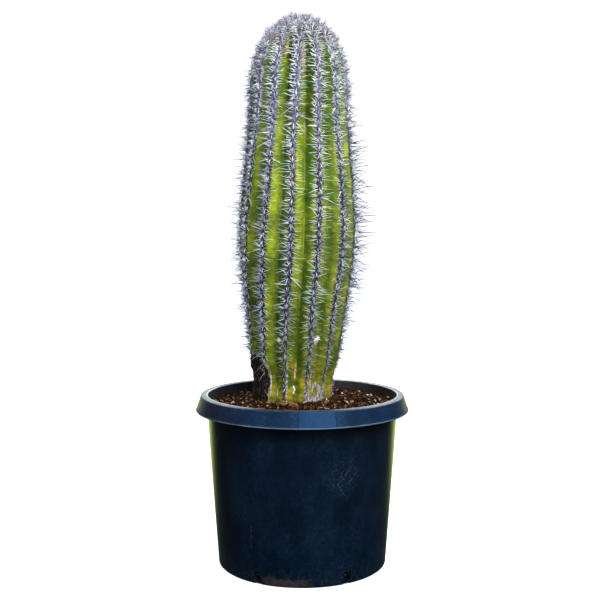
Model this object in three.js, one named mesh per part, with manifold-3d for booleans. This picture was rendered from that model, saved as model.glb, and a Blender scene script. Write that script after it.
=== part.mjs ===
// A young saguaro cactus growing in a round plastic nursery pot full of potting mix.
// Millimetres, +Z up. The origin is the centre of the pot's foot, and -Y is the front.
import * as THREE from "three";
import { mergeVertices } from "three/addons/utils/BufferGeometryUtils.js";
import Module from "manifold-3d";

const wasm = await Module();
wasm.setup();

// Pot: a tapered tub with a rim that turns out and hangs down as a flared skirt.
const potHeight = 240;
const rimRadius = 150; // at the lip along the skirt's lower edge, the widest part of the pot
const rimTopRadius = 142.8; // outer edge of the flat ring on top of the rim
const mouthRadius = 133.4; // inner edge of that ring
const skirtDrop = 22;
const wallThickness = 2.5;
const footRadius = 118.1; // outside of the wall, carried down to the ground
const wallTaper = 0.072; // the wall leans out by this much for each millimetre up
const footRecess = 4; // the floor of the pot stands this far off the ground
const footWidth = 7.5; // the ring that the pot stands on
const potSegments = 60;

// Drain slots: open notches in the corner between wall and floor.
const slotCount = 6;
const slotWidth = 10.5;
const slotHeight = 18;
const slotDepth = 14;

// Potting mix.
const clearance = 0.35; // between the potting mix and what it touches
const soilEdgeHeight = 226.5;
const soilMoundHeight = 233.5; // where it meets the stem
const moundFoot = 120; // radius at which the mix starts to rise towards the stem
const moundRun = 62; // how far it goes on rising
const soilRipple = 0.9; // depth of the hollows in the surface
const soilSegments = 64;
const litterBand = [78, 114]; // radii that the loose pieces on top lie between
const barkChips = 24;
const barkSizes = [[8, 16], [4, 8], [2.5, 4]]; // shortest and longest length, width and thickness
const perliteGrains = 26;
const perliteRadius = [1.8, 3];

// Stem. Its ribs have a crest, two flat flanks and a sharp valley between neighbours.
const ribCount = 13;
const frontRibAngle = -6.3; // degrees from the front, towards +X, at mid height
const ribWander = 0.7; // degrees; each crest strays this far to either side on its way up
const ribWanderHeight = 52;
const crestShare = 0.24; // half of the crest's width, as a share of the half pitch of the ribs
const soilLine = 234;
const domeBase = 654; // above this height the stem rounds over to its tip
const domeRadius = 67.7;
const stemTip = 756;
const domePower = 2.15;
const rootBottom = 186; // the buried end of the stem
const leanAtSoil = -9.5; // the foot of the stem stands this much further to -X than its head
const headOffset = -4;
const leanPower = 2.8;

// Spines: clusters of a central spine and one to either side along each crest, with a tuft on the crown.
const clusterPitch = 24;
const firstCluster = 8; // above the soil line, along the crest
const crownHeight = 738; // above it the crests run together, and the clusters have no side spines
const spineRootDepth = 4;
const spineRadius = 1;
const sideSpineOffset = 1.6; // to either side of the middle of the cluster
const centralSpineOffset = 2.2; // above it
const centralSpine = [18, 27]; // shortest and longest
const sideSpine = [12, 17];
const crownSpine = [9, 14];
const tuftSpines = 14;
const tuftRadius = 16;
const seed = 20;

// The same sequence of numbers from 0 to 1 every time.
function seededRandom(start) {
  let state = start;
  return () => {
    state = (state + 0x6d2b79f5) | 0;
    let mixed = Math.imul(state ^ (state >>> 15), 1 | state);
    mixed = (mixed + Math.imul(mixed ^ (mixed >>> 7), 61 | mixed)) ^ mixed;
    return ((mixed ^ (mixed >>> 14)) >>> 0) / 4294967296;
  };
}
const between = (random, [low, high]) => low + (high - low) * random();

// A smooth curve through [position, value] pairs, level at both ends and never overshooting them.
function smoothThrough(points) {
  const slope = points.map((point, i) => {
    if (i === 0 || i === points.length - 1) return 0;
    const before = (point[1] - points[i - 1][1]) / (point[0] - points[i - 1][0]);
    const after = (points[i + 1][1] - point[1]) / (points[i + 1][0] - point[0]);
    return before * after > 0 ? (2 * before * after) / (before + after) : 0;
  });
  return (at) => {
    if (at <= points[0][0]) return points[0][1];
    if (at >= points[points.length - 1][0]) return points[points.length - 1][1];
    const i = points.findIndex((point) => point[0] > at) - 1;
    const [start, startValue] = points[i];
    const [end, endValue] = points[i + 1];
    const width = end - start;
    const t = (at - start) / width;
    const rise = t * t * (3 - 2 * t);
    return (
      startValue * (1 - rise) +
      endValue * rise +
      width * t * (1 - t) * (slope[i] * (1 - t) - slope[i + 1] * t)
    );
  };
}

// Stem outline as height and radius over the crests: a corky foot, a swollen waist and a slimmer neck.
const shaftRadius = smoothThrough([
  [196, 38],
  [210, 49],
  [soilLine, 56],
  [264, 57],
  [288, 62.5],
  [314, 65.3],
  [350, 69.6],
  [385, 74.3],
  [427, 79],
  [469, 81.5],
  [510, 79],
  [580, 73],
  [621, 69],
  [domeBase, domeRadius],
]);
// Depth of the valleys as a share of the crest radius.
const ribDepth = smoothThrough([
  [200, 0],
  [228, 0.07],
  [264, 0.12],
  [300, 0.16],
  [430, 0.17],
  [560, 0.2],
  [640, 0.26],
  [720, 0.26],
  [stemTip, 0.12],
]);
// The crests turn slowly about the axis on their way up, in degrees.
const ribTwist = smoothThrough([
  [soilLine, -5.5],
  [307, -5.3],
  [364, -4.7],
  [420, -2],
  [504, 0],
  [593, 1],
  [domeBase, 3],
  [704, 4.7],
  [stemTip, 6],
]);
// How much further apart, in degrees, the front ribs stand than an even share; below zero, closer.
const ribCrowding = smoothThrough([
  [300, 2.8],
  [704, -5],
]);

function crestRadius(z) {
  if (z <= domeBase) return shaftRadius(z);
  const t = Math.min(1, (z - domeBase) / (stemTip - domeBase));
  return domeRadius * Math.pow(1 - Math.pow(t, domePower), 1 / domePower);
}

function stemCentre(z) {
  const t = THREE.MathUtils.clamp((z - soilLine) / (stemTip - soilLine), 0, 1);
  return headOffset + leanAtSoil * Math.pow(1 - t, leanPower);
}

// Angle of a crest about the stem, in radians, measured from the front towards +X.
function crestAngle(rib, z) {
  const even = (rib * 2 * Math.PI) / ribCount;
  const wander = ribWander * Math.sin(z / ribWanderHeight + rib * 2.4);
  const crowding = ribCrowding(z) * Math.sin(even);
  return even + THREE.MathUtils.degToRad(frontRibAngle + crowding + ribTwist(z) + wander);
}

function stemPoint(angle, radius, z) {
  return new THREE.Vector3(stemCentre(z) + radius * Math.sin(angle), -radius * Math.cos(angle), z);
}

// Three points of each rib at one height: the two edges of the crest, then the valley beyond it.
function stemRing(z, growth) {
  const ring = [];
  const radius = crestRadius(z) + growth;
  const shoulderFall = 1 - Math.cos((crestShare * Math.PI) / 2);
  for (let rib = 0; rib < ribCount; rib += 1) {
    const crest = crestAngle(rib, z);
    const next = crestAngle(rib + 1, z);
    const before = crestAngle(rib - 1, z);
    const shoulder = radius * (1 - ribDepth(z) * shoulderFall);
    ring.push(stemPoint(crest - ((crest - before) / 2) * crestShare, shoulder, z));
    ring.push(stemPoint(crest + ((next - crest) / 2) * crestShare, shoulder, z));
    ring.push(stemPoint((crest + next) / 2, radius * (1 - ribDepth(z)), z));
  }
  return ring;
}

// A closed skin over rings of equal length, with a point below the first ring and one above the last.
function skinOver(rings, bottom, top) {
  const size = rings[0].length;
  const points = [bottom, ...rings.flat(), top];
  const last = points.length - 1;
  const faces = [];
  for (let k = 0; k < size; k += 1) {
    const next = (k + 1) % size;
    faces.push(0, 1 + next, 1 + k);
    faces.push(last, last - size + k, last - size + next);
    for (let row = 0; row + 1 < rings.length; row += 1) {
      const low = 1 + row * size;
      const high = low + size;
      faces.push(low + k, low + next, high + next);
      faces.push(low + k, high + next, high + k);
    }
  }
  const geometry = new THREE.BufferGeometry();
  geometry.setAttribute("position", new THREE.Float32BufferAttribute(points.flatMap((p) => p.toArray()), 3));
  geometry.setIndex(faces);
  return geometry;
}

function toSolid(geometry) {
  const bare = geometry.clone();
  bare.deleteAttribute("normal");
  bare.deleteAttribute("uv");
  const merged = mergeVertices(bare, 1e-4);
  return new wasm.Manifold(
    new wasm.Mesh({
      numProp: 3,
      vertProperties: new Float32Array(merged.attributes.position.array),
      triVerts: new Uint32Array(merged.index.array),
    }),
  );
}

function toMesh(name, solid, color, roughness) {
  const { vertProperties, triVerts } = solid.getMesh();
  const geometry = new THREE.BufferGeometry();
  geometry.setAttribute("position", new THREE.BufferAttribute(vertProperties, 3));
  geometry.setIndex(new THREE.BufferAttribute(triVerts, 1));
  geometry.computeVertexNormals();
  const mesh = new THREE.Mesh(geometry, new THREE.MeshStandardMaterial({ color, roughness, metalness: 0 }));
  mesh.name = name;
  return mesh;
}

// Ring heights: close together where the outline bends.
function stemHeights() {
  const heights = [196, 203, 212, 222, soilLine, 249, 264, 276, 288];
  for (let z = 307; z < domeBase; z += 20) heights.push(z);
  const domeShares = [0, 0.2, 0.38, 0.54, 0.68, 0.8, 0.9, 0.965];
  return [...heights, ...domeShares.map((share) => domeBase + share * (stemTip - domeBase))];
}

function stemSkin(growth) {
  const rings = stemHeights().map((z) => stemRing(z, growth));
  const bottom = new THREE.Vector3(stemCentre(rootBottom), 0, rootBottom - growth);
  const top = new THREE.Vector3(stemCentre(stemTip), 0, stemTip + growth);
  return toSolid(skinOver(rings, bottom, top));
}

// The middles of a rib's clusters, a pitch apart along its crest, with their directions on the skin.
function clusterPlaces(rib) {
  const places = [];
  let walked = -firstCluster - (rib % 2) * (clusterPitch / 2);
  let previous = stemPoint(crestAngle(rib, soilLine), crestRadius(soilLine), soilLine);
  for (let z = soilLine + 1; z < stemTip - 2; z += 1) {
    const angle = crestAngle(rib, z);
    const point = stemPoint(angle, crestRadius(z), z);
    walked += point.distanceTo(previous);
    const up = point.clone().sub(previous).normalize();
    previous = point;
    if (walked < clusterPitch * places.length) continue;
    const side = new THREE.Vector3(Math.cos(angle), Math.sin(angle), 0);
    const out = side.clone().cross(up).normalize();
    places.push({ point, out, up, side });
  }
  return places;
}

// A three-sided needle from below the skin out to its tip.
function needle(point, direction, length) {
  const whole = length + spineRootDepth;
  const cone = new THREE.ConeGeometry(spineRadius, whole, 3);
  cone.translate(0, whole / 2 - spineRootDepth, 0);
  cone.applyQuaternion(new THREE.Quaternion().setFromUnitVectors(new THREE.Vector3(0, 1, 0), direction));
  cone.translate(point.x, point.y, point.z);
  return toSolid(cone);
}

// A point or a direction, given by its shares of a cluster's outward, sideways and upward directions.
function fromPlace({ out, side, up }, outShare, sideShare, upShare) {
  const sum = new THREE.Vector3().addScaledVector(out, outShare).addScaledVector(side, sideShare);
  return sum.addScaledVector(up, upShare);
}

function clusterNeedles(place, random) {
  const tilt = between(random, [-0.35, 0.35]);
  const skin = place.point.clone().addScaledVector(place.out, -1);
  const grow = (sideways, upwards, direction, length) =>
    needle(skin.clone().add(fromPlace(place, 0, sideways, upwards)), direction.normalize(), length);
  if (place.point.z > crownHeight) {
    return [-1, 1].map((hand) =>
      grow(hand, 0, fromPlace(place, 1, 0.35 * hand + tilt, 0.3), between(random, crownSpine)),
    );
  }
  const central = fromPlace(place, 1, 0.6 * tilt, tilt);
  const toSide = (hand) => fromPlace(place, 0.62, hand, 0.7 * tilt * hand);
  return [
    grow(0, centralSpineOffset, central, between(random, centralSpine)),
    grow(-sideSpineOffset, 0, toSide(-1), between(random, sideSpine)),
    grow(sideSpineOffset, 0, toSide(1), between(random, sideSpine)),
  ];
}

// Short spines that stand up round the growing point, spread evenly by the golden angle.
function crownTuft(random) {
  return Array.from({ length: tuftSpines }, (_, index) => {
    const angle = index * Math.PI * (3 - Math.sqrt(5));
    const radius = tuftRadius * Math.sqrt((index + 0.5) / tuftSpines);
    const direction = new THREE.Vector3(Math.sin(angle) * radius, -Math.cos(angle) * radius, 30).normalize();
    return needle(stemPoint(angle, radius, stemTip - 2.5), direction, between(random, crownSpine));
  });
}

function cactus() {
  const random = seededRandom(seed);
  const solids = [stemSkin(0)];
  for (let rib = 0; rib < ribCount; rib += 1) {
    for (const place of clusterPlaces(rib)) solids.push(...clusterNeedles(place, random));
  }
  return wasm.Manifold.union([...solids, ...crownTuft(random)]);
}

const wallRadius = (z) => footRadius + wallTaper * z;

function drainSlot(index) {
  const outline = new THREE.Shape();
  const half = slotWidth / 2;
  const round = 2.5;
  outline.moveTo(-half, -1);
  outline.lineTo(half, -1);
  outline.lineTo(half, slotHeight - round);
  outline.lineTo(half - round, slotHeight);
  outline.lineTo(-half + round, slotHeight);
  outline.lineTo(-half, slotHeight - round);
  outline.closePath();
  const cutter = new THREE.ExtrudeGeometry(outline, { depth: slotDepth, bevelEnabled: false });
  cutter.rotateX(Math.PI / 2); // the outline stands up and the depth runs to -Y, the front
  cutter.translate(0, -(wallRadius(slotHeight) + 2 - slotDepth), 0);
  cutter.rotateZ(((index + 0.5) * 2 * Math.PI) / slotCount);
  return toSolid(cutter);
}

function pot() {
  const innerRadius = (z) => wallRadius(z) - wallThickness;
  const underRing = potHeight - wallThickness - 1;
  const skirtFoot = potHeight - skirtDrop;
  const outline = [
    [0, footRecess],
    [footRadius - 2 - footWidth - 1.5, footRecess],
    [footRadius - 2 - footWidth, 0],
    [footRadius - 2, 0],
    [wallRadius(1.8) + 0.2, 1.8],
    [wallRadius(underRing), underRing],
    [rimTopRadius - 2.2, underRing],
    [rimRadius - 4.3, skirtFoot + 4],
    [rimRadius - 3, skirtFoot],
    [rimRadius - 0.8, skirtFoot - 0.4],
    [rimRadius, skirtFoot + 0.9],
    [rimRadius - 1.7, skirtFoot + 4],
    [rimTopRadius, potHeight - 1.4],
    [rimTopRadius - 1.4, potHeight],
    [mouthRadius, potHeight],
    [mouthRadius - 0.5, potHeight - 1],
    [innerRadius(potHeight - 4), potHeight - 4],
    [innerRadius(footRecess + 6), footRecess + 6],
    [innerRadius(footRecess) - 2.5, footRecess + 3],
    [0, footRecess + 3],
  ];
  const lathe = new THREE.LatheGeometry(
    outline.map(([radius, z]) => new THREE.Vector2(radius, z)),
    potSegments,
  );
  lathe.rotateX(Math.PI / 2);
  const slots = Array.from({ length: slotCount }, (_, index) => drainSlot(index));
  return toSolid(lathe).subtract(wasm.Manifold.union(slots));
}

function soilHeight(radius, angle) {
  const mound = soilMoundHeight - soilEdgeHeight;
  const towardsStem = THREE.MathUtils.clamp((moundFoot - radius) / moundRun, 0, 1);
  const crossRipple = Math.sin(radius / 6.1 + 3 * angle) * Math.cos(7 * angle - radius / 9);
  return soilEdgeHeight + mound * towardsStem ** 1.3 + soilRipple * (crossRipple + Math.sin(11 * angle) / 2);
}

function soilBody() {
  const inside = (z) => wallRadius(z) - wallThickness - clearance;
  const floor = footRecess + 3 + clearance;
  const circle = (radius, height) =>
    Array.from({ length: soilSegments }, (_, k) => {
      const angle = (k * 2 * Math.PI) / soilSegments;
      return new THREE.Vector3(radius * Math.sin(angle), -radius * Math.cos(angle), height(angle));
    });
  const fit = Math.cos(Math.PI / potSegments); // the pot's flats lie inside its circle
  const rings = [
    circle((inside(floor) - 3) * fit, () => floor),
    circle(inside(footRecess + 6) * fit, () => footRecess + 6.5),
    circle(inside(soilEdgeHeight - 2) * fit, () => soilEdgeHeight - 2),
  ];
  for (let radius = 127; radius > 40; radius -= 9) {
    rings.push(circle(radius, (angle) => soilHeight(radius, angle)));
  }
  const bottom = new THREE.Vector3(0, 0, floor);
  const top = new THREE.Vector3(0, 0, soilMoundHeight);
  return toSolid(skinOver(rings, bottom, top));
}

// Drops a loose piece on the potting mix, half sunk and turned any way round, clear of the stem and the pot.
function litter(geometry, random) {
  const tilt = () => between(random, [-0.45, 0.45]);
  const turn = new THREE.Euler(tilt(), tilt(), random() * Math.PI);
  geometry.applyQuaternion(new THREE.Quaternion().setFromEuler(turn));
  const angle = random() * 2 * Math.PI;
  const radius = between(() => Math.sqrt(random()), litterBand);
  geometry.translate(radius * Math.sin(angle), -radius * Math.cos(angle), soilHeight(radius, angle) - 0.3);
  return toSolid(geometry);
}

function soil() {
  const random = seededRandom(seed + 1);
  const pieces = [soilBody()];
  for (let chip = 0; chip < barkChips; chip += 1) {
    const size = barkSizes.map((range) => between(random, range));
    pieces.push(litter(new THREE.BoxGeometry(...size), random));
  }
  for (let grain = 0; grain < perliteGrains; grain += 1) {
    pieces.push(litter(new THREE.OctahedronGeometry(between(random, perliteRadius)), random));
  }
  return wasm.Manifold.union(pieces).subtract(stemSkin(clearance));
}

const plant = new THREE.Group();
plant.add(
  toMesh("pot", pot(), 0x10192b, 0.45),
  toMesh("soil", soil(), 0x3b2416, 0.95),
  toMesh("cactus", cactus(), 0x6f8a2a, 0.6),
);
export default plant;
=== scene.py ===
"""A young saguaro in a plastic nursery pot: ribbed stem, areoles, spines, potting mix and pot.

Metres, +Z up. The pot stands on z = 0 with its axis at the origin, and -Y is the front. The solids of the
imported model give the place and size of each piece, and the pieces made here stand for them.
"""

import math

import bmesh
import bpy
import numpy as np
from bpy.props import FloatProperty, FloatVectorProperty, IntProperty, PointerProperty
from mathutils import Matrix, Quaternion, Vector, noise


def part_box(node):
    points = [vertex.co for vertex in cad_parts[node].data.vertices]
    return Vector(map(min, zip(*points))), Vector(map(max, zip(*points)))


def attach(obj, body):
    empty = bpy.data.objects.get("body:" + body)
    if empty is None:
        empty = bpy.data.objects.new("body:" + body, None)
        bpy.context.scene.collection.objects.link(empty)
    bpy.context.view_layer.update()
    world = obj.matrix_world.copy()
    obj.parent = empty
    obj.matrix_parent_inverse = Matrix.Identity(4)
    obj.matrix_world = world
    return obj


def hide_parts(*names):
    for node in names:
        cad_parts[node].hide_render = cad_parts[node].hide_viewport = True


bl_info = {
    "name": "Potted Saguaro",
    "version": (1, 0, 0),
    "blender": (4, 5, 0),
    "location": "View3D > Sidebar > Saguaro",
    "description": "Builds a young saguaro cactus in a nursery pot, piece by piece",
    "category": "Add Mesh",
}

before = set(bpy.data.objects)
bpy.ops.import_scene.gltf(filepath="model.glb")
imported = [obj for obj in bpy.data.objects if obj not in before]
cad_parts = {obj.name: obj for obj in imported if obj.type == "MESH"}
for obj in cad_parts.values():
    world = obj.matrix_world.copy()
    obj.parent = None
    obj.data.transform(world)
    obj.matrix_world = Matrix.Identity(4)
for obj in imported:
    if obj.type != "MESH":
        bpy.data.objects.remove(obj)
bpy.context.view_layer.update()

FULL_TURN = 2 * math.pi

# The stem, as its solid has it. Heights are above the ground.
RIB_COUNT = 13
FRONT_RIB = math.radians(-6.3)
RIB_WANDER = math.radians(0.7)
RIB_WANDER_HEIGHT = 0.052
SOIL_LINE = 0.234
DOME_BASE = 0.654
DOME_RADIUS = 0.0677
STEM_TIP = 0.756
DOME_POWER = 2.15
ROOT_BOTTOM = 0.187
LEAN_AT_SOIL = -0.0095
HEAD_OFFSET = -0.004
LEAN_POWER = 2.8
FLANK_FULLNESS = 1.45

# The pot, as its solid has it.
RIM_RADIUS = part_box("pot")[1].x
POT_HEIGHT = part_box("pot")[1].z
RIM_TOP_RADIUS = 0.1428
MOUTH_RADIUS = 0.1334
SKIRT_DROP = 0.022
WALL_THICKNESS = 0.0025
FOOT_RADIUS = 0.1181
WALL_TAPER = 0.072
FOOT_RECESS = 0.004
FLOOR_TOP = FOOT_RECESS + 0.003
FOOT_WIDTH = 0.0075
SLOT_COUNT = 6
SLOT_WIDTH = 0.0105
SLOT_HEIGHT = 0.018
SLOT_DEPTH = 0.014
SLOT_CORNER = 0.0026

# The potting mix: its edge and mound as its solid has them, and the bank against the stem.
CLEARANCE = 0.00055
STEM_CLEARANCE = 0.0004
MIX_EDGE_HEIGHT = 0.2265
MIX_MOUND = 0.007
MOUND_FOOT = 0.12
MOUND_RUN = 0.062
MOUND_POWER = 1.3
MIX_RIPPLE = 0.0009
MIX_BANK = 0.0026
BANK_WIDTH = 0.007


# Curves and places


def smooth_through(*points):
    """A smooth curve through (position, value) pairs, level at both ends and never overshooting them."""
    places, values = (np.array(column, float) for column in zip(*points))
    steps = np.diff(values) / np.diff(places)
    before, after = steps[:-1], steps[1:]
    slopes = np.zeros(len(places))
    keeps_on = before * after > 0
    slopes[1:-1][keeps_on] = 2 * (before * after)[keeps_on] / (before + after)[keeps_on]

    def curve(at):
        at = np.clip(at, places[0], places[-1])
        i = np.clip(np.searchsorted(places, at, side="right") - 1, 0, len(places) - 2)
        width = places[i + 1] - places[i]
        t = (at - places[i]) / width
        rise = t * t * (3 - 2 * t)
        bow = width * t * (1 - t) * (slopes[i] * (1 - t) - slopes[i + 1] * t)
        return values[i] * (1 - rise) + values[i + 1] * rise + bow

    return curve


shaft_radius = smooth_through(
    (0.196, 0.038), (0.210, 0.049), (SOIL_LINE, 0.056), (0.264, 0.057), (0.288, 0.0625), (0.314, 0.0653),
    (0.350, 0.0696), (0.385, 0.0743), (0.427, 0.079), (0.469, 0.0815), (0.510, 0.079), (0.580, 0.073),
    (0.621, 0.069), (DOME_BASE, DOME_RADIUS),
)
rib_depth = smooth_through(
    (0.200, 0), (0.228, 0.07), (0.264, 0.12), (0.300, 0.16), (0.430, 0.17), (0.560, 0.20), (0.640, 0.26),
    (0.720, 0.26), (STEM_TIP, 0.12),
)
rib_twist = smooth_through(
    (SOIL_LINE, -5.5), (0.307, -5.3), (0.364, -4.7), (0.420, -2), (0.504, 0), (0.593, 1), (DOME_BASE, 3),
    (0.704, 4.7), (STEM_TIP, 6),
)
rib_crowding = smooth_through((0.300, 2.8), (0.704, -5))


def crest_radius(z):
    """From the stem's centre to the crests of its ribs."""
    rise = np.clip((z - DOME_BASE) / (STEM_TIP - DOME_BASE), 0, 1)
    dome = DOME_RADIUS * (1 - rise**DOME_POWER) ** (1 / DOME_POWER)
    return np.where(z <= DOME_BASE, shaft_radius(z), dome)


def stem_centre(z):
    """The x of the stem's centre, which leans a little near the soil."""
    rise = np.clip((z - SOIL_LINE) / (STEM_TIP - SOIL_LINE), 0, 1)
    return HEAD_OFFSET + LEAN_AT_SOIL * (1 - rise) ** LEAN_POWER


def crest_angle(rib, z):
    """A crest's direction from the stem's centre, measured from the front towards +X."""
    even = rib * FULL_TURN / RIB_COUNT
    wander = RIB_WANDER * np.sin(z / RIB_WANDER_HEIGHT + rib * 2.4)
    turn = np.radians(rib_twist(z) + rib_crowding(z) * np.sin(even))
    return even + FRONT_RIB + turn + wander


def around(angle, radius, z, centre=0.0):
    """Points at an angle from the front and a radius, as an array whose last axis is x, y, z."""
    angle, radius, z, centre = np.broadcast_arrays(angle, radius, z, centre)
    return np.stack([centre + radius * np.sin(angle), -radius * np.cos(angle), z], axis=-1)


def on_stem(angle, radius, z):
    return around(angle, radius, z, stem_centre(z))


def lumps(points, size, octaves=3):
    """Smooth noise, about -1 to 1, at each point, with features of the given size."""
    flat = points.reshape(-1, 3) / size
    values = [noise.fractal(Vector(point), 1.0, 2.0, octaves) for point in flat.tolist()]
    return np.array(values).reshape(points.shape[:-1])


def unit(vectors):
    return vectors / np.linalg.norm(vectors, axis=-1, keepdims=True)


def smooth_step(value, low, high):
    t = np.clip((value - low) / (high - low), 0, 1)
    return t * t * (3 - 2 * t)


# Meshes

# How much of its girth a needle loses on the way to its tip, and how late.
TAPER, TAPER_POWER = 0.78, 1.6
# A direction that no needle has, from which the two across each needle are worked out.
SLANT = (0.31, 0.17, 0.94)


def shifted(faces, first):
    """The same faces on points that start at another number."""
    return [[corner + first for corner in face] for face in faces]


def closed_skin(rings, first, last):
    """Points and faces of a skin over rings of equal length, closed by a fan at each end."""
    rows, columns = rings.shape[:2]
    points = np.concatenate([rings.reshape(-1, 3), [first, last]])
    here = np.arange(columns)
    onward = (here + 1) % columns
    low = (np.arange(rows - 1) * columns)[:, None]
    quads = np.stack([low + here, low + onward, low + columns + onward, low + columns + here], axis=-1)
    top = (rows - 1) * columns
    under = [[len(points) - 2, b, a] for a, b in zip(here.tolist(), onward.tolist())]
    over = [[len(points) - 1, top + a, top + b] for a, b in zip(here.tolist(), onward.tolist())]
    return points, [*quads.reshape(-1, 4).tolist(), *under, *over]


def rounded(corners, steps=5):
    """An outline through (radius, height, fillet) corners, each fillet drawn as a short curve."""
    outline = [np.array(corners[0][:2])]
    for before, (radius, height, fillet), after in zip(corners, corners[1:], corners[2:]):
        corner = np.array([radius, height])
        ends = []
        for neighbour in (before, after):
            away = np.array(neighbour[:2]) - corner
            reach = min(fillet, 0.49 * np.linalg.norm(away))
            ends.append(corner + unit(away) * reach)
        for t in np.linspace(0, 1, steps):
            outline.append((1 - t) ** 2 * ends[0] + 2 * t * (1 - t) * corner + t * t * ends[1])
    outline.append(np.array(corners[-1][:2]))
    return np.array(outline)


def dense(outline, spacing):
    """The same outline with points added, so that no two neighbours are further apart than the spacing."""
    points = [outline[0]]
    for start, end in zip(outline, outline[1:]):
        count = max(1, math.ceil(np.linalg.norm(end - start) / spacing))
        points += [start + (end - start) * k / count for k in range(1, count + 1)]
    return np.array(points)


def ball(subdivisions):
    """A unit ball of small triangles, as points and faces."""
    mesh = bmesh.new()
    bmesh.ops.create_icosphere(mesh, subdivisions=subdivisions, radius=1)
    points = np.array([vert.co for vert in mesh.verts])
    faces = np.array([[vert.index for vert in face.verts] for face in mesh.faces])
    mesh.free()
    return points, faces


def random_turns(rng, count):
    """Rotation matrices in every direction alike."""
    turns = [Quaternion(unit(four)).to_matrix() for four in rng.normal(size=(count, 4))]
    return np.array([[list(row) for row in turn] for turn in turns])


def scatter(shape, sizes, axes, places):
    """Copies of a shape of equal faces, each stretched by its sizes along its own axes and then placed."""
    points, faces = shape
    copies = np.einsum("nps,nsx->npx", points * sizes[:, None, :], axes) + places[:, None, :]
    first = np.arange(len(places)) * points.shape[-2]
    return copies.reshape(-1, 3), (faces + first[:, None, None]).reshape(-1, faces.shape[1]).tolist()


def needles(roots, directions, lengths, radii, bows, sides, stations):
    """Tapered, slightly bowed needles as points and faces, each point's share of the way out from its root
    to its tip, and the number of points in one needle. The stations are the shares at which a needle has a
    ring of points, and the last one is its tip."""
    along = np.array(stations)
    side = unit(np.cross(directions, SLANT))
    other = np.cross(directions, side)
    turn = np.arange(sides) * FULL_TURN / sides
    circle = side[:, None, :] * np.cos(turn)[:, None] + other[:, None, :] * np.sin(turn)[:, None]
    spine = (
        roots[:, None, :]
        + directions[:, None, :] * (along * lengths[:, None])[..., None]
        + bows[:, None, :] * (along**2)[:, None]
    )
    girth = radii[:, None] * (1 - TAPER * along[:-1] ** TAPER_POWER)
    rings = spine[:, :-1, None, :] + circle[:, None, :, :] * girth[:, :, None, None]
    points = np.concatenate([rings.reshape(len(roots), -1, 3), spine[:, -1:]], axis=1)
    size = points.shape[1]
    rows = len(along) - 1
    faces = []
    for k in range(sides):
        onward = (k + 1) % sides
        for row in range(rows - 1):
            low, high = row * sides, (row + 1) * sides
            faces.append([low + k, low + onward, high + onward, high + k])
    tips = [[(rows - 1) * sides + k, (rows - 1) * sides + (k + 1) % sides, size - 1] for k in range(sides)]
    base = [list(range(sides))[::-1]]
    first = (np.arange(len(roots)) * size)[:, None, None]
    all_faces = []
    for group in (faces, tips, base):
        group = np.array(group)
        all_faces += (group + first).reshape(-1, group.shape[1]).tolist()
    shares = np.concatenate([np.repeat(along[:-1], sides), [1.0]])
    return points.reshape(-1, 3), all_faces, np.tile(shares, len(roots)), size


def new_mesh(name, points, faces):
    mesh = bpy.data.meshes.new(name)
    mesh.from_pydata(np.asarray(points).tolist(), [], faces)
    if not len(mesh.polygons):
        raise RuntimeError(f"{name} came out empty")
    return mesh


def add_object(name, data):
    """Puts a mesh, a lamp or a camera into the scene."""
    thing = bpy.data.objects.new(name, data)
    bpy.context.scene.collection.objects.link(thing)
    return thing


def add_piece(name, points, faces, material, replaces, marks=None, smooth=True):
    """Adds one mesh as a piece of the object. The marks are numbers at its points for its finish to read."""
    mesh = new_mesh(name, points, faces)
    for mark, values in (marks or {}).items():
        layer = mesh.attributes.new(mark, "FLOAT", "POINT")
        layer.data.foreach_set("value", np.asarray(values, np.float32).ravel())
    mesh.polygons.foreach_set("use_smooth", [smooth] * len(mesh.polygons))
    mesh.materials.append(material)
    piece = add_object(name, mesh)
    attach(piece, "root")
    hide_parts(replaces)
    return piece


# Shader maths


class Value:
    """One output of a shader node. Arithmetic on it adds the Math nodes that work it out."""

    def __init__(self, shader, socket):
        self.shader = shader
        self.socket = socket

    def output(self, name):
        """Another output of the same node."""
        return Value(self.shader, self.socket.node.outputs[name])

    def __add__(self, other):
        return self.shader.math("ADD", self, other)

    def __radd__(self, other):
        return self.shader.math("ADD", other, self)

    def __sub__(self, other):
        return self.shader.math("SUBTRACT", self, other)

    def __rsub__(self, other):
        return self.shader.math("SUBTRACT", other, self)

    def __mul__(self, other):
        return self.shader.math("MULTIPLY", self, other)

    def __rmul__(self, other):
        return self.shader.math("MULTIPLY", other, self)

    def __truediv__(self, other):
        return self.shader.math("DIVIDE", self, other)

    def __abs__(self):
        return self.shader.math("ABSOLUTE", self)


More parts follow.
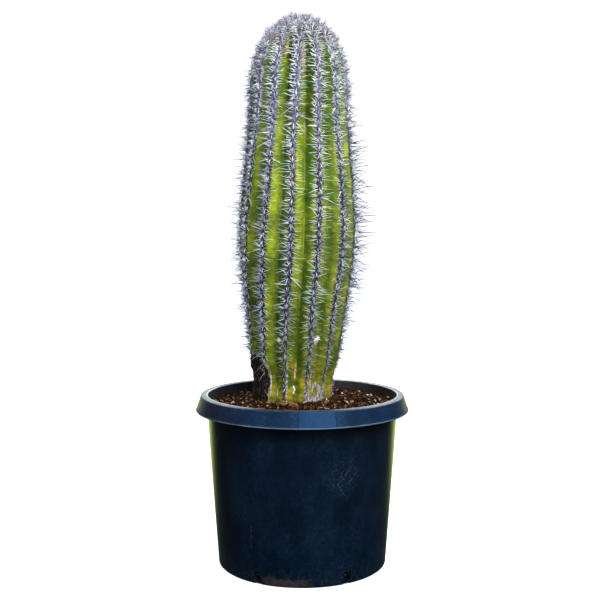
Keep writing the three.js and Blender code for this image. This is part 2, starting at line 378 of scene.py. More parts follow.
class Shader:
    """The nodes of one material or world, with short ways to add to them."""

    def __init__(self, owner):
        owner.use_nodes = True
        self.owner = owner
        self.tree = owner.node_tree
        self.tree.nodes.clear()
        self.place = None

    def node(self, kind, settings=None, inputs=None, output=0):
        """Adds a node: its settings first, then the values or links of its inputs."""
        node = self.tree.nodes.new(kind)
        for name, value in (settings or {}).items():
            if name == "stops":
                self.set_stops(node.color_ramp, value)
            else:
                setattr(node, name, value)
        for name, value in (inputs or {}).items():
            self.feed(node.inputs[name], value)
        return Value(self, node.outputs[output]) if len(node.outputs) else node

    def feed(self, socket, value):
        """Links a value to an input, or sets the input where the value is plain numbers."""
        if isinstance(value, Value):
            self.tree.links.new(value.socket, socket)
        elif socket.type == "RGBA" and len(value) == 3:
            socket.default_value = (*value, 1)
        else:
            socket.default_value = value

    def set_stops(self, ramp, stops):
        while len(ramp.elements) < len(stops):
            ramp.elements.new(1)
        for element, (position, color) in zip(ramp.elements, stops):
            element.position = position
            element.color = (*color, 1)

    def math(self, operation, *terms):
        """A Math node on numbers or values."""
        return self.node("ShaderNodeMath", {"operation": operation}, dict(enumerate(terms)))

    def coordinates(self):
        """Where on the object the shader is, in metres."""
        if self.place is None:
            self.place = self.node("ShaderNodeTexCoord", output="Object")
        return self.place

    def axes(self):
        """The three parts of the coordinates."""
        split = self.node("ShaderNodeSeparateXYZ", inputs={0: self.coordinates()})
        return split, split.output("Y"), split.output("Z")

    def stretched(self, stretch):
        """The coordinates with each axis scaled, so that a texture is squeezed along it."""
        if stretch == (1, 1, 1):
            return self.coordinates()
        settings = {"operation": "MULTIPLY"}
        return self.node("ShaderNodeVectorMath", settings, {0: self.coordinates(), 1: stretch})

    def noise(self, size, detail=2.0, roughness=0.5, stretch=(1, 1, 1)):
        """Cloudy noise about 0.5, with features of this size where the stretch is 1."""
        inputs = {"Vector": self.stretched(stretch), "Scale": 1 / size, "Detail": detail,
                  "Roughness": roughness}
        return self.node("ShaderNodeTexNoise", {"noise_dimensions": "3D"}, inputs)

    def cells(self, size):
        """Distance to the middles of random cells of this size, as a share of it."""
        inputs = {"Vector": self.coordinates(), "Scale": 1 / size}
        return self.node("ShaderNodeTexVoronoi", {"feature": "F1"}, inputs)

    def attribute(self, name):
        """A mark that the mesh carries at its points."""
        settings = {"attribute_type": "GEOMETRY", "attribute_name": name}
        return self.node("ShaderNodeAttribute", settings, output="Fac")

    def ease(self, value, low, high, start=0.0, end=1.0):
        """Goes smoothly from start to end as the value goes from low to high."""
        inputs = {"Value": value, "From Min": low, "From Max": high, "To Min": start, "To Max": end}
        return self.node("ShaderNodeMapRange", {"interpolation_type": "SMOOTHSTEP"}, inputs)

    def mix(self, factor, low, high):
        """A colour between two others."""
        inputs = {0: factor, 6: low, 7: high}
        return self.node("ShaderNodeMix", {"data_type": "RGBA"}, inputs, output=2)

    def dim(self, factor, color):
        """A colour darkened, or lightened past 1, by a number that may vary."""
        settings = {"data_type": "RGBA", "blend_type": "MULTIPLY"}
        grey = self.node("ShaderNodeCombineColor", inputs={0: factor, 1: factor, 2: factor})
        return self.node("ShaderNodeMix", settings, {0: 1.0, 6: color, 7: grey}, output=2)

    def ramp(self, value, *stops):
        """A colour that goes by a number, through (position, colour) stops."""
        return self.node("ShaderNodeValToRGB", {"stops": stops}, {0: value})

    def bump(self, height, depth, under=None):
        """A normal raised by a height of 0 to 1 that stands for this depth in metres."""
        inputs = {"Height": height, "Distance": depth, "Strength": 1.0}
        if under is not None:
            inputs["Normal"] = under
        return self.node("ShaderNodeBump", inputs=inputs)

    def surface(self, sockets):
        """Finishes a material with one Principled surface."""
        surface = self.node("ShaderNodeBsdfPrincipled", inputs=sockets)
        self.node("ShaderNodeOutputMaterial", inputs={"Surface": surface})
        return self.owner


def new_shader(name):
    return Shader(bpy.data.materials.new(name))


def rgb(red, green, blue):
    """A screen colour, 0 to 255 a channel, as the linear values that shaders use."""
    shares = [channel / 255 for channel in (red, green, blue)]
    return tuple(s / 12.92 if s <= 0.04045 else ((s + 0.055) / 1.055) ** 2.4 for s in shares)


# Settings that a user may change


def color_property(name, description, default):
    return FloatVectorProperty(
        name=name, description=description, default=default, subtype="COLOR", size=3, min=0, max=1
    )


def length_property(name, description, default):
    return FloatProperty(name=name, description=description, default=default, min=0, unit="LENGTH")


def power_property(name, description, default):
    return FloatProperty(name=name, description=description, default=default, min=0, unit="POWER")


class StemSettings(bpy.types.PropertyGroup):
    """The stem's skin."""

    flank_fullness: FloatProperty(
        name="Flank Fullness", description="1 for flat flanks, more for flanks that bulge",
        default=FLANK_FULLNESS, min=1, max=3,
    )
    areole_pitch: length_property("Areole Pitch", "Between areoles along a crest", 0.0112)
    knob_height: length_property("Knob Height", "How far a crest stands out under each areole", 0.0011)
    lump_height: length_property("Lump Height", "How uneven the skin is", 0.0007)
    crust_height: length_property("Crust Height", "How far the dead crust near the soil stands out", 0.0010)
    # The sunny and shady sides are partly real sun-yellowing and partly painted light, from the skin's turn
    # towards a fixed sun.
    sun_color: color_property("Sunny Side", "Skin that faced the sun", rgb(158, 167, 26))
    shade_color: color_property("Shady Side", "Skin that faced away from the sun", rgb(76, 106, 16))
    cork_color: color_property("Cork", "Dry bark at the foot of the stem", rgb(206, 194, 204))
    crust_color: color_property("Crust", "Dead tissue near the soil", rgb(25, 18, 13))


class SpineSettings(bpy.types.PropertyGroup):
    """Areoles and the spines that grow from them."""

    radial_length: length_property("Radial Length", "A middling spine that lies over the flank", 0.0150)
    central_length: length_property("Central Length", "A middling spine that covers the crest", 0.0088)
    outer_length: length_property("Outer Length", "A middling spine that stands out", 0.0175)
    radial_radius: length_property("Radial Radius", "Half a radial spine's thickness at its root", 0.00035)
    central_radius: length_property("Central Radius", "Half a stout spine's thickness at its root", 0.00055)
    long_share: FloatProperty(
        name="Long Spines", description="Share of the areoles with an extra long spine",
        default=0.3, min=0, max=1, subtype="FACTOR",
    )
    crowding: IntProperty(
        name="Crowding", description="Extra outward spines on each areole near the top",
        default=2, min=0, max=20,
    )
    tuft: IntProperty(name="Tuft", description="Spines round the growing point", default=60, min=0, max=400)
    seed: IntProperty(name="Seed", description="Start of the random draws", default=7, min=0)
    radial_color: color_property("Radial Spines", "Shafts of the radial spines", rgb(238, 247, 250))
    central_color: color_property("Central Spines", "Shafts of the central spines", rgb(244, 241, 255))
    # The outer spines are the same horn as the others, painted darker: painted shade, as they stand out
    # against the light.
    shaded_outer_color: color_property("Outer Spines", "Shafts of the spines that stand out", rgb(132, 124, 142))
    root_color: color_property("Spine Roots", "The dark foot of each spine", rgb(50, 44, 74))
    felt_color: color_property("Felt", "The pads that the spines grow from", rgb(72, 68, 100))


class MixSettings(bpy.types.PropertyGroup):
    """The potting mix and what lies on it."""

    heap_height: length_property("Heap Height", "Height of the small heaps", 0.0022)
    crumbs: IntProperty(name="Crumbs", description="Loose crumbs", default=4200, min=0, max=6000)
    perlite: IntProperty(name="Perlite", description="White grains", default=20, min=0, max=300)
    bark: IntProperty(name="Bark Chips", description="Flakes of bark", default=70, min=0, max=300)
    twigs: IntProperty(name="Twigs", description="Thin twigs", default=16, min=0, max=100)
    seed: IntProperty(name="Seed", description="Start of the random draws", default=11, min=0)
    dark_color: color_property("Dark Mix", "Wet peat", rgb(9, 5, 2))
    light_color: color_property("Light Mix", "Dry peat", rgb(66, 42, 20))
    bark_color: color_property("Bark", "Fresh bark", rgb(150, 80, 42))


class PotSettings(bpy.types.PropertyGroup):
    """The nursery pot."""

    plastic_color: color_property("Plastic", "The pot's colour", rgb(14, 25, 39))
    # The skirt's colour is a painted sheen: the same plastic, lighter and bluer.
    sheen_color: color_property("Skirt", "The cleaner, bluer plastic of the rim and skirt", rgb(14, 33, 55))
    scuff_color: color_property("Scuffs", "Scratches and dust", rgb(104, 114, 128))
    roughness: FloatProperty(
        name="Roughness", description="How blurred the pot's reflections are",
        default=0.26, min=0.05, max=1, subtype="FACTOR",
    )


class StageSettings(bpy.types.PropertyGroup):
    """The floor and the lights."""

    key_power: power_property("Key Light", "Warm light from the right", 30)
    fill_power: power_property("Fill Light", "Soft light from the left", 16)
    head_power: power_property("Head Light", "Narrow light on the upper half of the plant", 2.1)
    rim_power: power_property("Rim Light", "Soft light from behind on the left", 4)
    back_power: power_property("Back Light", "Soft light on the side away from the camera", 24)
    front_power: power_property("Front Light", "Broad cool light that the pot mirrors", 40)
    sky_strength: FloatProperty(
        name="Sky", description="Strength of the light from all round", default=0.6, min=0
    )
    floor_color: color_property("Floor", "The floor and what is behind it", (1, 1, 1))


# The stem

COLUMNS_A_RIB = 26
# Heights of the skin's rings under the mix, and the steps between the rings from there up to the dome.
ROOT_RINGS = (0.190, 0.1935, 0.198, 0.204, 0.212, 0.221)
FOOT_START, FOOT_END = 0.228, 0.300
FOOT_STEP, SHAFT_STEP = 0.0014, 0.0022
VALLEY_FILL, VALLEY_WIDTH = 0.07, 0.09
KNOB_REACH = 0.0034
KNOBS_END = STEM_TIP - 0.03
LUMP_SIZE = 0.022
SCAB_HEIGHT = 0.0012
CRUMPLE_HEIGHT, CRUMPLE_SIZE = 0.0013, 0.004
areole_crowding = smooth_through((0.66, 1.0), (0.71, 0.72), (0.75, 0.5))
# The dead patch at the left foot. Its top falls away over the back part of its width.
PATCH_AZIMUTH, PATCH_HALF_TURN = math.radians(-71), math.radians(38)
PATCH_HEIGHT, PATCH_HALF_HEIGHT = 0.258, 0.044
PATCH_FALL = 0.04
# Heights between which the stem's colours change: on its crown, and over its upper part.
CROWN_RISE = (0.69, 0.75)
UPPER_RISE = (0.56, 0.66)
PALE_RISE = (0.55, 0.66)
SUN_DIRECTION = (0.78, -0.60, 0.18)

# Marks on the skin: azimuth from the front in degrees, then height, half width and half height.
PALE_SCARS = [(0.6, 0.2570, 0.0014, 0.0022), (2.2, 0.2533, 0.0015, 0.0024), (0.8, 0.2495, 0.0013, 0.0022),
              (-23.6, 0.2485, 0.0010, 0.0060), (-34, 0.262, 0.0008, 0.0165)]
TAN_SCARS = [(1.8, 0.2790, 0.0018, 0.0120), (25, 0.268, 0.0015, 0.014)]
SCABS = [(28.0, 0.3200, 0.0058, 0.0040), (-22.0, 0.3215, 0.0040, 0.0038), (32.0, 0.3235, 0.0030, 0.0030)]
SUNBURN = [(-19, 0.713, 0.0026, 0.013), (5.5, 0.700, 0.0030, 0.026), (7.5, 0.605, 0.0022, 0.016)]
CORK_PATCHES = [(21, 0.239, 0.0045, 0.0110), (34, 0.2345, 0.0105, 0.0080), (46, 0.246, 0.003, 0.014)]
RING_SCAR = (35, 0.2490, 0.0050, 0.0094)
FAR_MARK = 3.0


def marked(angle, z, marks):
    """How far each point is from the nearest mark, as a share of that mark's size: 1 at its edge."""
    nearest = np.full(np.shape(z), FAR_MARK)
    for azimuth, height, half_width, half_height in marks:
        turned = (angle - math.radians(azimuth) + math.pi) % FULL_TURN - math.pi
        across = crest_radius(z) * turned / half_width
        nearest = np.minimum(nearest, np.hypot(across, (z - height) / half_height))
    return nearest


def dead_share(angle, z):
    """0 on sound skin and 1 in the middle of the dead patch."""
    turned = (angle - PATCH_AZIMUTH + math.pi) % FULL_TURN - math.pi
    across = turned / PATCH_HALF_TURN
    fall = PATCH_FALL * smooth_step(-across, 0.55, 1.3)
    across = np.where(across < 0, 0.8 * across, across)
    reach = (across**4 + ((z + fall - PATCH_HEIGHT) / PATCH_HALF_HEIGHT) ** 4) ** 0.25
    ragged = reach + 0.04 * np.sin(angle * 19 + z * 160) + 0.02 * np.sin(angle * 43 - z * 310)
    return 1 - smooth_step(ragged, 0.66, 1.06)


def dome_heights(share, count):
    """Heights up the dome, closer together towards its tip, over this share of its curve."""
    return DOME_BASE + (STEM_TIP - DOME_BASE) * np.sin(np.linspace(0, math.pi / 2 * share, count))


def crest_path(rib):
    """Heights along a crest, the crest's points there and how far along the crest each one is."""
    z = np.concatenate([np.arange(SOIL_LINE - 0.006, DOME_BASE, 0.001), dome_heights(0.955, 160)])
    points = on_stem(crest_angle(rib, z), crest_radius(z), z)
    steps = np.linalg.norm(np.diff(points, axis=0), axis=1)
    return z, points, np.concatenate([[0], np.cumsum(steps)])


def areole_heights(rib, pitch):
    """The heights of a rib's areoles, closer together on the crown."""
    z, _, walked = crest_path(rib)
    rng = np.random.default_rng(100 + rib)
    at = pitch * ((rib * 0.618) % 1)
    heights = []
    while at < walked[-1]:
        height = np.interp(at, walked, z)
        heights.append(height)
        at += pitch * areole_crowding(height) * rng.uniform(0.9, 1.1)
    return np.array(heights)


def areoles(pitch):
    """Every areole's place on its crest, with the outward, sideways and upward directions there."""
    places, ups, sides = [], [], []
    for rib in range(RIB_COUNT):
        z, points, _ = crest_path(rib)
        heights = areole_heights(rib, pitch)
        rising = unit(np.gradient(points, axis=0))
        for vectors, found in ((points, places), (rising, ups)):
            found.append(np.stack([np.interp(heights, z, vectors[:, k]) for k in range(3)], axis=-1))
        angle = crest_angle(rib, heights)
        sides.append(around(angle + math.pi / 2, 1.0, 0.0))
    place, up, side = (np.concatenate(found) for found in (places, ups, sides))
    up = unit(up)
    out = unit(np.cross(side, up))
    return place, out, np.cross(up, out), up


def stem_heights():
    """Heights of the skin's rings, closest together near the soil, where the skin is scarred."""
    foot = np.arange(FOOT_START, FOOT_END, FOOT_STEP)
    shaft = np.arange(FOOT_END, DOME_BASE, SHAFT_STEP)
    return np.concatenate([ROOT_RINGS, foot, shaft, dome_heights(0.975, 48)])


def ribbed(z, flank, settings):
    """Angles and radii of the skin, rib by rib, with a knob under each areole. The flank is the share of the
    way from a crest to the valley on either side of it."""
    angles, radii = [], []
    for rib in range(RIB_COUNT):
        crest = crest_angle(rib, z)
        before = (crest - crest_angle(rib - 1, z)) / 2
        after = (crest_angle(rib + 1, z) - crest) / 2
        angles.append(crest + flank * np.where(flank < 0, before, after))
        valley = VALLEY_FILL * np.exp(-(((1 - np.abs(flank)) / VALLEY_WIDTH) ** 2))
        fall = rib_depth(z) * (np.abs(flank) ** settings.flank_fullness - valley)
        heights = areole_heights(rib, settings.areole_pitch)
        knobs = np.exp(-(((z - heights[None, :]) / KNOB_REACH) ** 2)).sum(axis=1, keepdims=True)
        knobs = np.where(z < KNOBS_END, knobs - 0.5, 0)
        ridges = np.exp(-((flank / 0.3) ** 2)) + 0.4 * np.exp(-(((np.abs(flank) - 0.55) / 0.25) ** 2))
        radii.append(crest_radius(z) * (1 - fall) + settings.knob_height * knobs * ridges)
    return np.concatenate(angles, axis=1), np.concatenate(radii, axis=1)


def stem_skin(settings):
    """The skin's rings from the buried root crown to the tip, with the marks that its finish reads."""
    z = stem_heights()[:, None]
    flank = np.linspace(-1, 1, COLUMNS_A_RIB, endpoint=False)[None, :]
    angle, radius = ribbed(z, flank, settings)
    z = np.broadcast_to(z, angle.shape)
    skin = on_stem(angle, radius, z)
    dead = dead_share(angle, z)
    scab = 1 - smooth_step(marked(angle, z, SCABS), 0.6, 1.1)
    uneven = settings.lump_height * lumps(skin, LUMP_SIZE) * np.clip(radius / 0.03, 0, 1)
    crumpled = dead * CRUMPLE_HEIGHT * lumps(skin * [1, 1, 0.5], CRUMPLE_SIZE)
    radius = radius + uneven + crumpled + SCAB_HEIGHT * scab + settings.crust_height * dead
    ring = 0.3 + np.abs(marked(angle, z, [RING_SCAR]) - 1 + 0.1 * lumps(skin, 0.005)) * 1.9
    marks = {
        "flank": np.broadcast_to(np.tile(np.abs(flank), RIB_COUNT), angle.shape),
        "turned": np.broadcast_to(np.tile(np.sin(math.pi * flank), RIB_COUNT), angle.shape),
        "dead": dead,
        "pale_scar": marked(angle, z, PALE_SCARS),
        "tan_scar": marked(angle, z, TAN_SCARS),
        "scab": marked(angle, z, SCABS),
        "sunburn": marked(angle, z, SUNBURN),
        "cork_patch": np.minimum(marked(angle, z, CORK_PATCHES), ring),
    }
    return on_stem(angle, radius, z), marks


def flesh_finish(settings):
    """Waxy skin with cork near the soil, scars and the dead crust over it."""
    shader = new_shader("cactus skin")
    _, _, height = shader.axes()
    flank, turned = shader.attribute("flank"), shader.attribute("turned")
    grain = shader.noise(0.0035, 4, 0.6)
    blotch = shader.noise(0.019, 3, 0.55, stretch=(1, 1, 0.75))
    cloud = shader.noise(0.034, 2, 0.5)
    bars = shader.noise(0.0105, 4, 0.66, stretch=(1, 1, 1.9))
    # The skin's turn towards a fixed sun, which fresh_skin turns into painted light.
    normal = shader.node("ShaderNodeNewGeometry", output="Normal")
    both = {0: normal, 1: SUN_DIRECTION}
    towards_sun = shader.node("ShaderNodeVectorMath", {"operation": "DOT_PRODUCT"}, both, output="Value")
    color = fresh_skin(shader, settings, height, (flank, turned, towards_sun), (grain, blotch, cloud, bars))

    fibres = shader.noise(0.0018, 3, 0.7, stretch=(1, 1, 0.35))
    cork, patch = cork_share(shader, height, flank, turned, grain, blotch)
    pale_fibres = shader.ease(fibres + 0.07 * patch, 0.50, 0.62)
    pale_cork = shader.mix(patch, tuple(settings.cork_color), rgb(204, 188, 188))
    dark_cork = shader.mix(patch, rgb(48, 42, 56), rgb(104, 90, 90))
    color = shader.mix(cork * 0.9, color, shader.mix(pale_fibres, dark_cork, pale_cork))
    color, scarred = scars(shader, color, grain)
    dead = shader.attribute("dead") + 0.5 * grain - 0.25
    crust = shader.mix(shader.ease(fibres, 0.54, 0.68), tuple(settings.crust_color), rgb(112, 84, 64))
    color = shader.mix(shader.ease(dead, 0.10, 0.18) * 0.7, color, rgb(176, 160, 140))
    color = shader.mix(shader.ease(dead, 0.16, 0.30), color, crust)

    dry = shader.math("MAXIMUM", shader.math("MAXIMUM", cork, dead), scarred)
    roughness = 0.42 + 0.16 * bars + 0.3 * dry
    wrinkles = shader.bump(bars + 0.6 * blotch, 0.0016)
    pores = shader.bump(shader.noise(0.0011, 3, 0.6) + dry * fibres, 0.0003, wrinkles)
    return shader.surface({
        "Base Color": color, "Roughness": shader.math("MINIMUM", roughness, 0.95), "Normal": pores,
        "Specular IOR Level": 0.22, "Subsurface Weight": 0.05, "Subsurface Radius": (0.6, 1.0, 0.2),
        "Subsurface Scale": 0.002,
    })


def fresh_skin(shader, settings, height, facing, noises):
    """Living skin with yellow blotches, rusty bars, a pale line in each valley, pale fuzz under the
    spines high up and a brown stain at the soil. Painted light and shade: the side towards a fixed sun
    lighter and yellower, partly real sun-yellowing; painted shade in the valleys, on the left-hand flank
    of each crest, towards the foot and under the spines low down; and bars partly painted as the radial
    spines' shadows."""
    flank, turned, towards_sun = facing
    grain, blotch, cloud, bars = noises
    low = shader.ease(height, 0.70, 0.44)
    # Painted light: the skin lighter and yellower where it turns towards a fixed sun, partly real
    # sun-yellowing.
    sunny = shader.ease(towards_sun + 0.5 * blotch, -0.15, 1.05)
    patches = shader.ease(blotch + 0.35 * bars, 0.62, 0.82)
    yellow = sunny * (0.20 + 0.45 * low) + 0.75 * patches * (0.25 + 0.75 * low)
    yellow = shader.math("MINIMUM", yellow, 1.0)
    color = shader.mix(yellow, tuple(settings.shade_color), tuple(settings.sun_color))
    deep = shader.ease(cloud + 0.4 * blotch, 0.74, 0.56)
    color = shader.mix(deep * 0.55, color, rgb(64, 88, 16))
    near_soil = shader.ease(height, 0.290, 0.255) * shader.ease(blotch + 0.3 * bars, 0.53, 0.70)
    color = shader.mix(near_soil * 0.8, color, rgb(222, 196, 24))
    # Painted shade: the skin darker towards the foot.
    color = shader.dim(shader.ease(height, 0.28, 0.52, 0.52, 0.84), color)
    color = shader.dim(shader.ease(height, *UPPER_RISE, 1.0, 0.86), color)
    # Painted shade in the valleys and on the left-hand flank of each crest, weaker near the soil.
    painted_valley_shade = shader.ease(turned, 0.1, -0.8) * shader.ease(flank, 0.35, 0.75)
    painted_valley_shade = shader.math("MAXIMUM", painted_valley_shade, shader.ease(flank + 0.3 * blotch, 0.72, 1.16))
    painted_valley_shade = painted_valley_shade * shader.ease(height, 0.255, 0.30, 0.7, 1.0)
    color = shader.mix(painted_valley_shade * 0.66, color, rgb(48, 70, 14))
    # Lighter and darker horizontal bars, partly painted shadow of the radial spines.
    color = shader.dim(shader.ease(bars + 0.35 * grain, 0.42, 0.86, 0.66, 1.18), color)
    rusty = shader.ease(bars + 0.9 * blotch, 1.06, 1.24) * shader.ease(height, 0.62, 0.5, 0.1, 0.4)
    color = shader.mix(rusty, color, rgb(194, 160, 50))
    crease = shader.ease(flank, 0.92, 0.985) * shader.ease(height, 0.62, 0.5)
    crease = crease * shader.ease(blotch, 0.42, 0.58)
    color = shader.mix(crease * 0.45, color, rgb(150, 170, 76))
    color = fuzz_and_shade_band(shader, height, flank, grain, color)
    burnt = shader.ease(shader.attribute("sunburn") + 3.4 * grain, 2.7, 2.2)
    color = shader.mix(burnt * 0.6, color, rgb(186, 150, 100))
    stained = shader.ease(height + 0.012 * grain, 0.252, 0.243)
    color = shader.mix(stained * 0.5, color, rgb(66, 48, 22))
    return shader.dim(shader.ease(height, *CROWN_RISE, 1.0, 0.62), color)


def fuzz_and_shade_band(shader, height, flank, grain, color):
    """The colour with the band under the spines along each crest: painted shade, partly dark felt, low down,
    and pale fuzz with dark specks high up.
    """
    band = flank * shader.ease(height, 0.26, 0.36, 2.0, 1.0) - shader.ease(height, *UPPER_RISE, 0.0, 0.06)
    under_spines = shader.ease(band + 0.12 * grain, 0.36, 0.22)
    fuzz_and_shade = shader.mix(shader.ease(grain, 0.42, 0.56), rgb(44, 40, 60), rgb(146, 144, 186))
    # Painted shade under the spines low down, partly dark felt.
    fuzz_and_shade = shader.mix(shader.ease(height, *PALE_RISE), rgb(50, 44, 62), fuzz_and_shade)
    return shader.mix(under_spines * 0.9, color, fuzz_and_shade)


def cork_share(shader, height, flank, turned, grain, blotch):
    """How corky the skin is near the soil, and how pale that cork is: paler in patches and beside crests."""
    crest = shader.ease(flank + 0.45 * grain, 0.42, 0.32)
    crest = crest * shader.ease(height + 0.03 * blotch, 0.305, 0.262)
    beside = shader.ease(abs(turned - 0.45 - 0.3 * grain), 0.24, 0.14) * shader.ease(flank, 0.36, 0.30)
    beside = beside * shader.ease(height, 0.300, 0.285) * shader.ease(grain, 0.44, 0.52)
    patch = shader.ease(shader.attribute("cork_patch") + 1.2 * grain + 0.5 * blotch, 2.1, 1.6)
    soil_line = shader.ease(height + 0.008 * grain, 0.2405, 0.2365) * 0.35
    cork = crest
    for share in (beside, patch, soil_line):
        cork = shader.math("MAXIMUM", cork, share)
    return cork, shader.math("MAXIMUM", patch, beside)


def scars(shader, color, grain):
    """The colour with the pale, tan and scabby scars over it, and how dry they leave the skin."""
    pale = shader.ease(shader.attribute("pale_scar") + 1.2 * grain, 1.85, 1.35)
    color = shader.mix(pale, color, shader.mix(grain, rgb(206, 186, 190), rgb(250, 240, 224)))
    tan = shader.ease(shader.attribute("tan_scar") + 0.7 * grain, 1.55, 1.1)
    tan_color = shader.mix(shader.ease(grain, 0.4, 0.55), rgb(166, 116, 80), rgb(224, 184, 134))
    color = shader.mix(tan, color, tan_color)
    scab = shader.ease(shader.attribute("scab") + 1.0 * grain, 1.7, 1.25)
    scab_color = shader.mix(shader.ease(grain, 0.34, 0.46), rgb(190, 132, 96), rgb(238, 220, 220))
    return shader.mix(scab, color, scab_color), shader.math("MAXIMUM", pale, scab)


class SAGUARO_OT_add_stem(bpy.types.Operator):
    """Add the ribbed stem with its scars and the buried root crown"""

    bl_idname = "saguaro.add_stem"
    bl_label = "Add Stem"
    bl_options = {"REGISTER", "UNDO"}

    def execute(self, context):
        settings = context.scene.saguaro_stem
        rings, marks = stem_skin(settings)
        bottom = [float(stem_centre(ROOT_BOTTOM)), 0, ROOT_BOTTOM]
        top = [float(stem_centre(STEM_TIP)), 0, STEM_TIP - 0.0005]
        points, faces = closed_skin(rings, bottom, top)
        ends = {"flank": [0.5, 0.5], "turned": [0, 0], "dead": [0, 0]}
        marks = {
            mark: np.append(values.ravel(), ends.get(mark, [FAR_MARK, FAR_MARK]))
            for mark, values in marks.items()
        }
        add_piece("stem", points, faces, flesh_finish(settings), "cactus", marks)
        return {"FINISHED"}


# Areoles and spines

# Half the size of a pad of felt, sideways, upwards and outwards, and how deep its middle is in the skin.
PAD_SIZE = (0.0023, 0.0031, 0.0012)
PAD_DEPTH = 0.0003
# Directions of the radial spines to one side of an areole, in degrees above level.
RADIAL_ANGLES = (-34, -16, -3, 9, 25)
# How far up and down the crest the roots of the steepest ones stand where they form a comb.
COMB_SPAN = 0.009
# How far the roots of radial spines are from the middle of the areole, and how deep in the skin.
RADIAL_STEP, RADIAL_DEPTH = 0.0018, 0.0004
# Aims of the central spines: how far sideways and upwards of straight out, and the share of the length.
CENTRAL_AIMS = (
    (0.0, 1.6, 1.0), (-0.4, 1.2, 0.9), (0.4, 1.1, 0.9), (-0.7, 0.5, 0.8), (0.7, 0.3, 0.8),
    (-0.35, -1.0, 0.95), (0.35, -1.2, 1.0), (0.0, -1.7, 1.0), (0.1, 0.9, 0.9), (-0.1, -0.6, 0.8),
    (-1.2, 0.8, 0.9), (1.2, 0.5, 0.9), (-1.1, -0.7, 0.9), (1.2, -0.9, 0.9),
)
# How many of those aims, from the first, have a spine on every areole. The rest have one high up only.
CENTRAL_BASIC = 10
# How far apart the roots of central spines stand, across the crest and along it, for an aim of 1.
CENTRAL_ACROSS, CENTRAL_SPAN = 0.0030, 0.0022
# Outer spines on every areole, and how far apart their roots stand.
OUTER_COUNT = 4
OUTER_ACROSS, OUTER_SPAN = 0.002, 0.006
# Dry spines that hang over the dead patch: azimuth in degrees, height, then the sideways and upwards aim.
DRY_SPINES = ((-40, 0.292, -0.6, -0.95), (-39, 0.281, -0.5, -1.1), (-46, 0.302, -0.8, -0.55))
TUFT_RADIUS = 0.026
# Least and greatest lengths of the spines that have no setting of their own.
LONG_LENGTHS, DRY_LENGTHS, TUFT_LENGTHS = (0.016, 0.026), (0.020, 0.025), (0.009, 0.021)
# Shares of the way out at which a needle has points. Long needles have more.
STATIONS = (0, 0.33, 0.72, 1)
CENTRAL_STATIONS = (0, 0.3, 0.7, 1)
LONG_STATIONS = (0, 0.22, 0.5, 0.8, 1)


def felt_finish(settings):
    """Short wool: dark and weathered low down, paler high up and greyer on the crown."""
    shader = new_shader("areole felt")
    _, _, height = shader.axes()
    fluff = shader.noise(0.0007, 4, 0.7)
    old = shader.mix(shader.ease(fluff, 0.35, 0.7), rgb(34, 30, 48), tuple(settings.felt_color))
    fresh = shader.mix(fluff, rgb(60, 52, 60), rgb(142, 130, 136))
    pale = shader.mix(fluff, rgb(62, 60, 90), rgb(150, 150, 190))
    color = shader.mix(shader.ease(height, *PALE_RISE) * 0.8, old, pale)
    color = shader.mix(shader.ease(height, 0.705, 0.752), color, fresh)
    return shader.surface({
        "Base Color": color, "Roughness": 0.95, "Specular IOR Level": 0.1,
        "Normal": shader.bump(fluff, 0.0006), "Sheen Weight": 0.2, "Sheen Roughness": 0.5,
    })


def spine_finish(name, settings, shaft, tip, dark_share, young_share=0.85):
    """Horn with a dark root. This share of the spines is dark all along, those high up are whiter or pinker,
    and the ones on the crown are greyer."""
    shader = new_shader(name)
    _, _, height = shader.axes()
    along, tone = shader.attribute("along"), shader.attribute("tone")
    bright = dark_share + 0.12
    body = shader.ramp(
        tone, (0.0, rgb(34, 28, 54)), (dark_share, rgb(78, 72, 112)), (bright, shaft), (1.0, shaft)
    )
    young = shader.ramp(
        tone, (0.0, rgb(50, 42, 60)), (dark_share, rgb(96, 84, 104)), (bright, rgb(244, 240, 238)),
        (0.66, rgb(206, 232, 232)), (0.84, rgb(255, 253, 246)), (1.0, rgb(240, 200, 196)),
    )
    high = shader.ease(height, 0.54, 0.66)
    body = shader.mix(high * young_share, body, young)
    body = shader.mix(shader.ease(height, 0.705, 0.75) * 0.45, body, rgb(92, 80, 98))
    # Greyer and darker low down: partly weathering, partly painted shade towards the foot.
    weathered_and_shaded = shader.ease(height, 0.38, 0.27) * 0.55
    body = shader.mix(weathered_and_shaded, body, rgb(118, 116, 104))
    root = shader.mix(high * 0.75, tuple(settings.root_color), rgb(118, 116, 162))
    root = shader.dim(shader.ease(height, *CROWN_RISE, 1.0, 0.55), root)
    color = shader.mix(shader.ease(along + 0.10 * tone, 0.20, 0.06), body, root)
    color = shader.mix(shader.ease(along, 0.45, 0.9) * 0.5, color, tip)
    return shader.surface({"Base Color": color, "Roughness": 0.42, "Specular IOR Level": 0.5})


def areole_pads(settings, stem):
    """A lumpy oval pad of felt on every areole of sound skin."""
    place, out, side, up = areoles(stem.areole_pitch)
    sound = sound_share(place) > 0.5
    place, out, side, up = place[sound], out[sound], side[sound], up[sound]
    rng = np.random.default_rng(settings.seed)
    shape_points, shape_faces = ball(2)
    count = len(place)
    shapes = shape_points[None] * rng.uniform(0.8, 1.2, size=(count, len(shape_points), 1))
    small = np.clip((0.77 - place[:, 2]) / 0.06, 0.45, 1)[:, None]
    small = small * grown_share(place, 0.5, 0.26, 0.36)
    sizes = np.array(PAD_SIZE) * small * rng.uniform(0.8, 1.2, size=(count, 3))
    axes = np.stack([side, up, out], axis=1)
    return scatter((shapes, shape_faces), sizes, axes, place - out * PAD_DEPTH)


def crown_share(place):
    """How far each areole is up the crown, 0 below it and 1 at the tip."""
    low, _ = CROWN_RISE
    return np.clip((place[:, 2] - low) / (STEM_TIP - low), 0, 1)


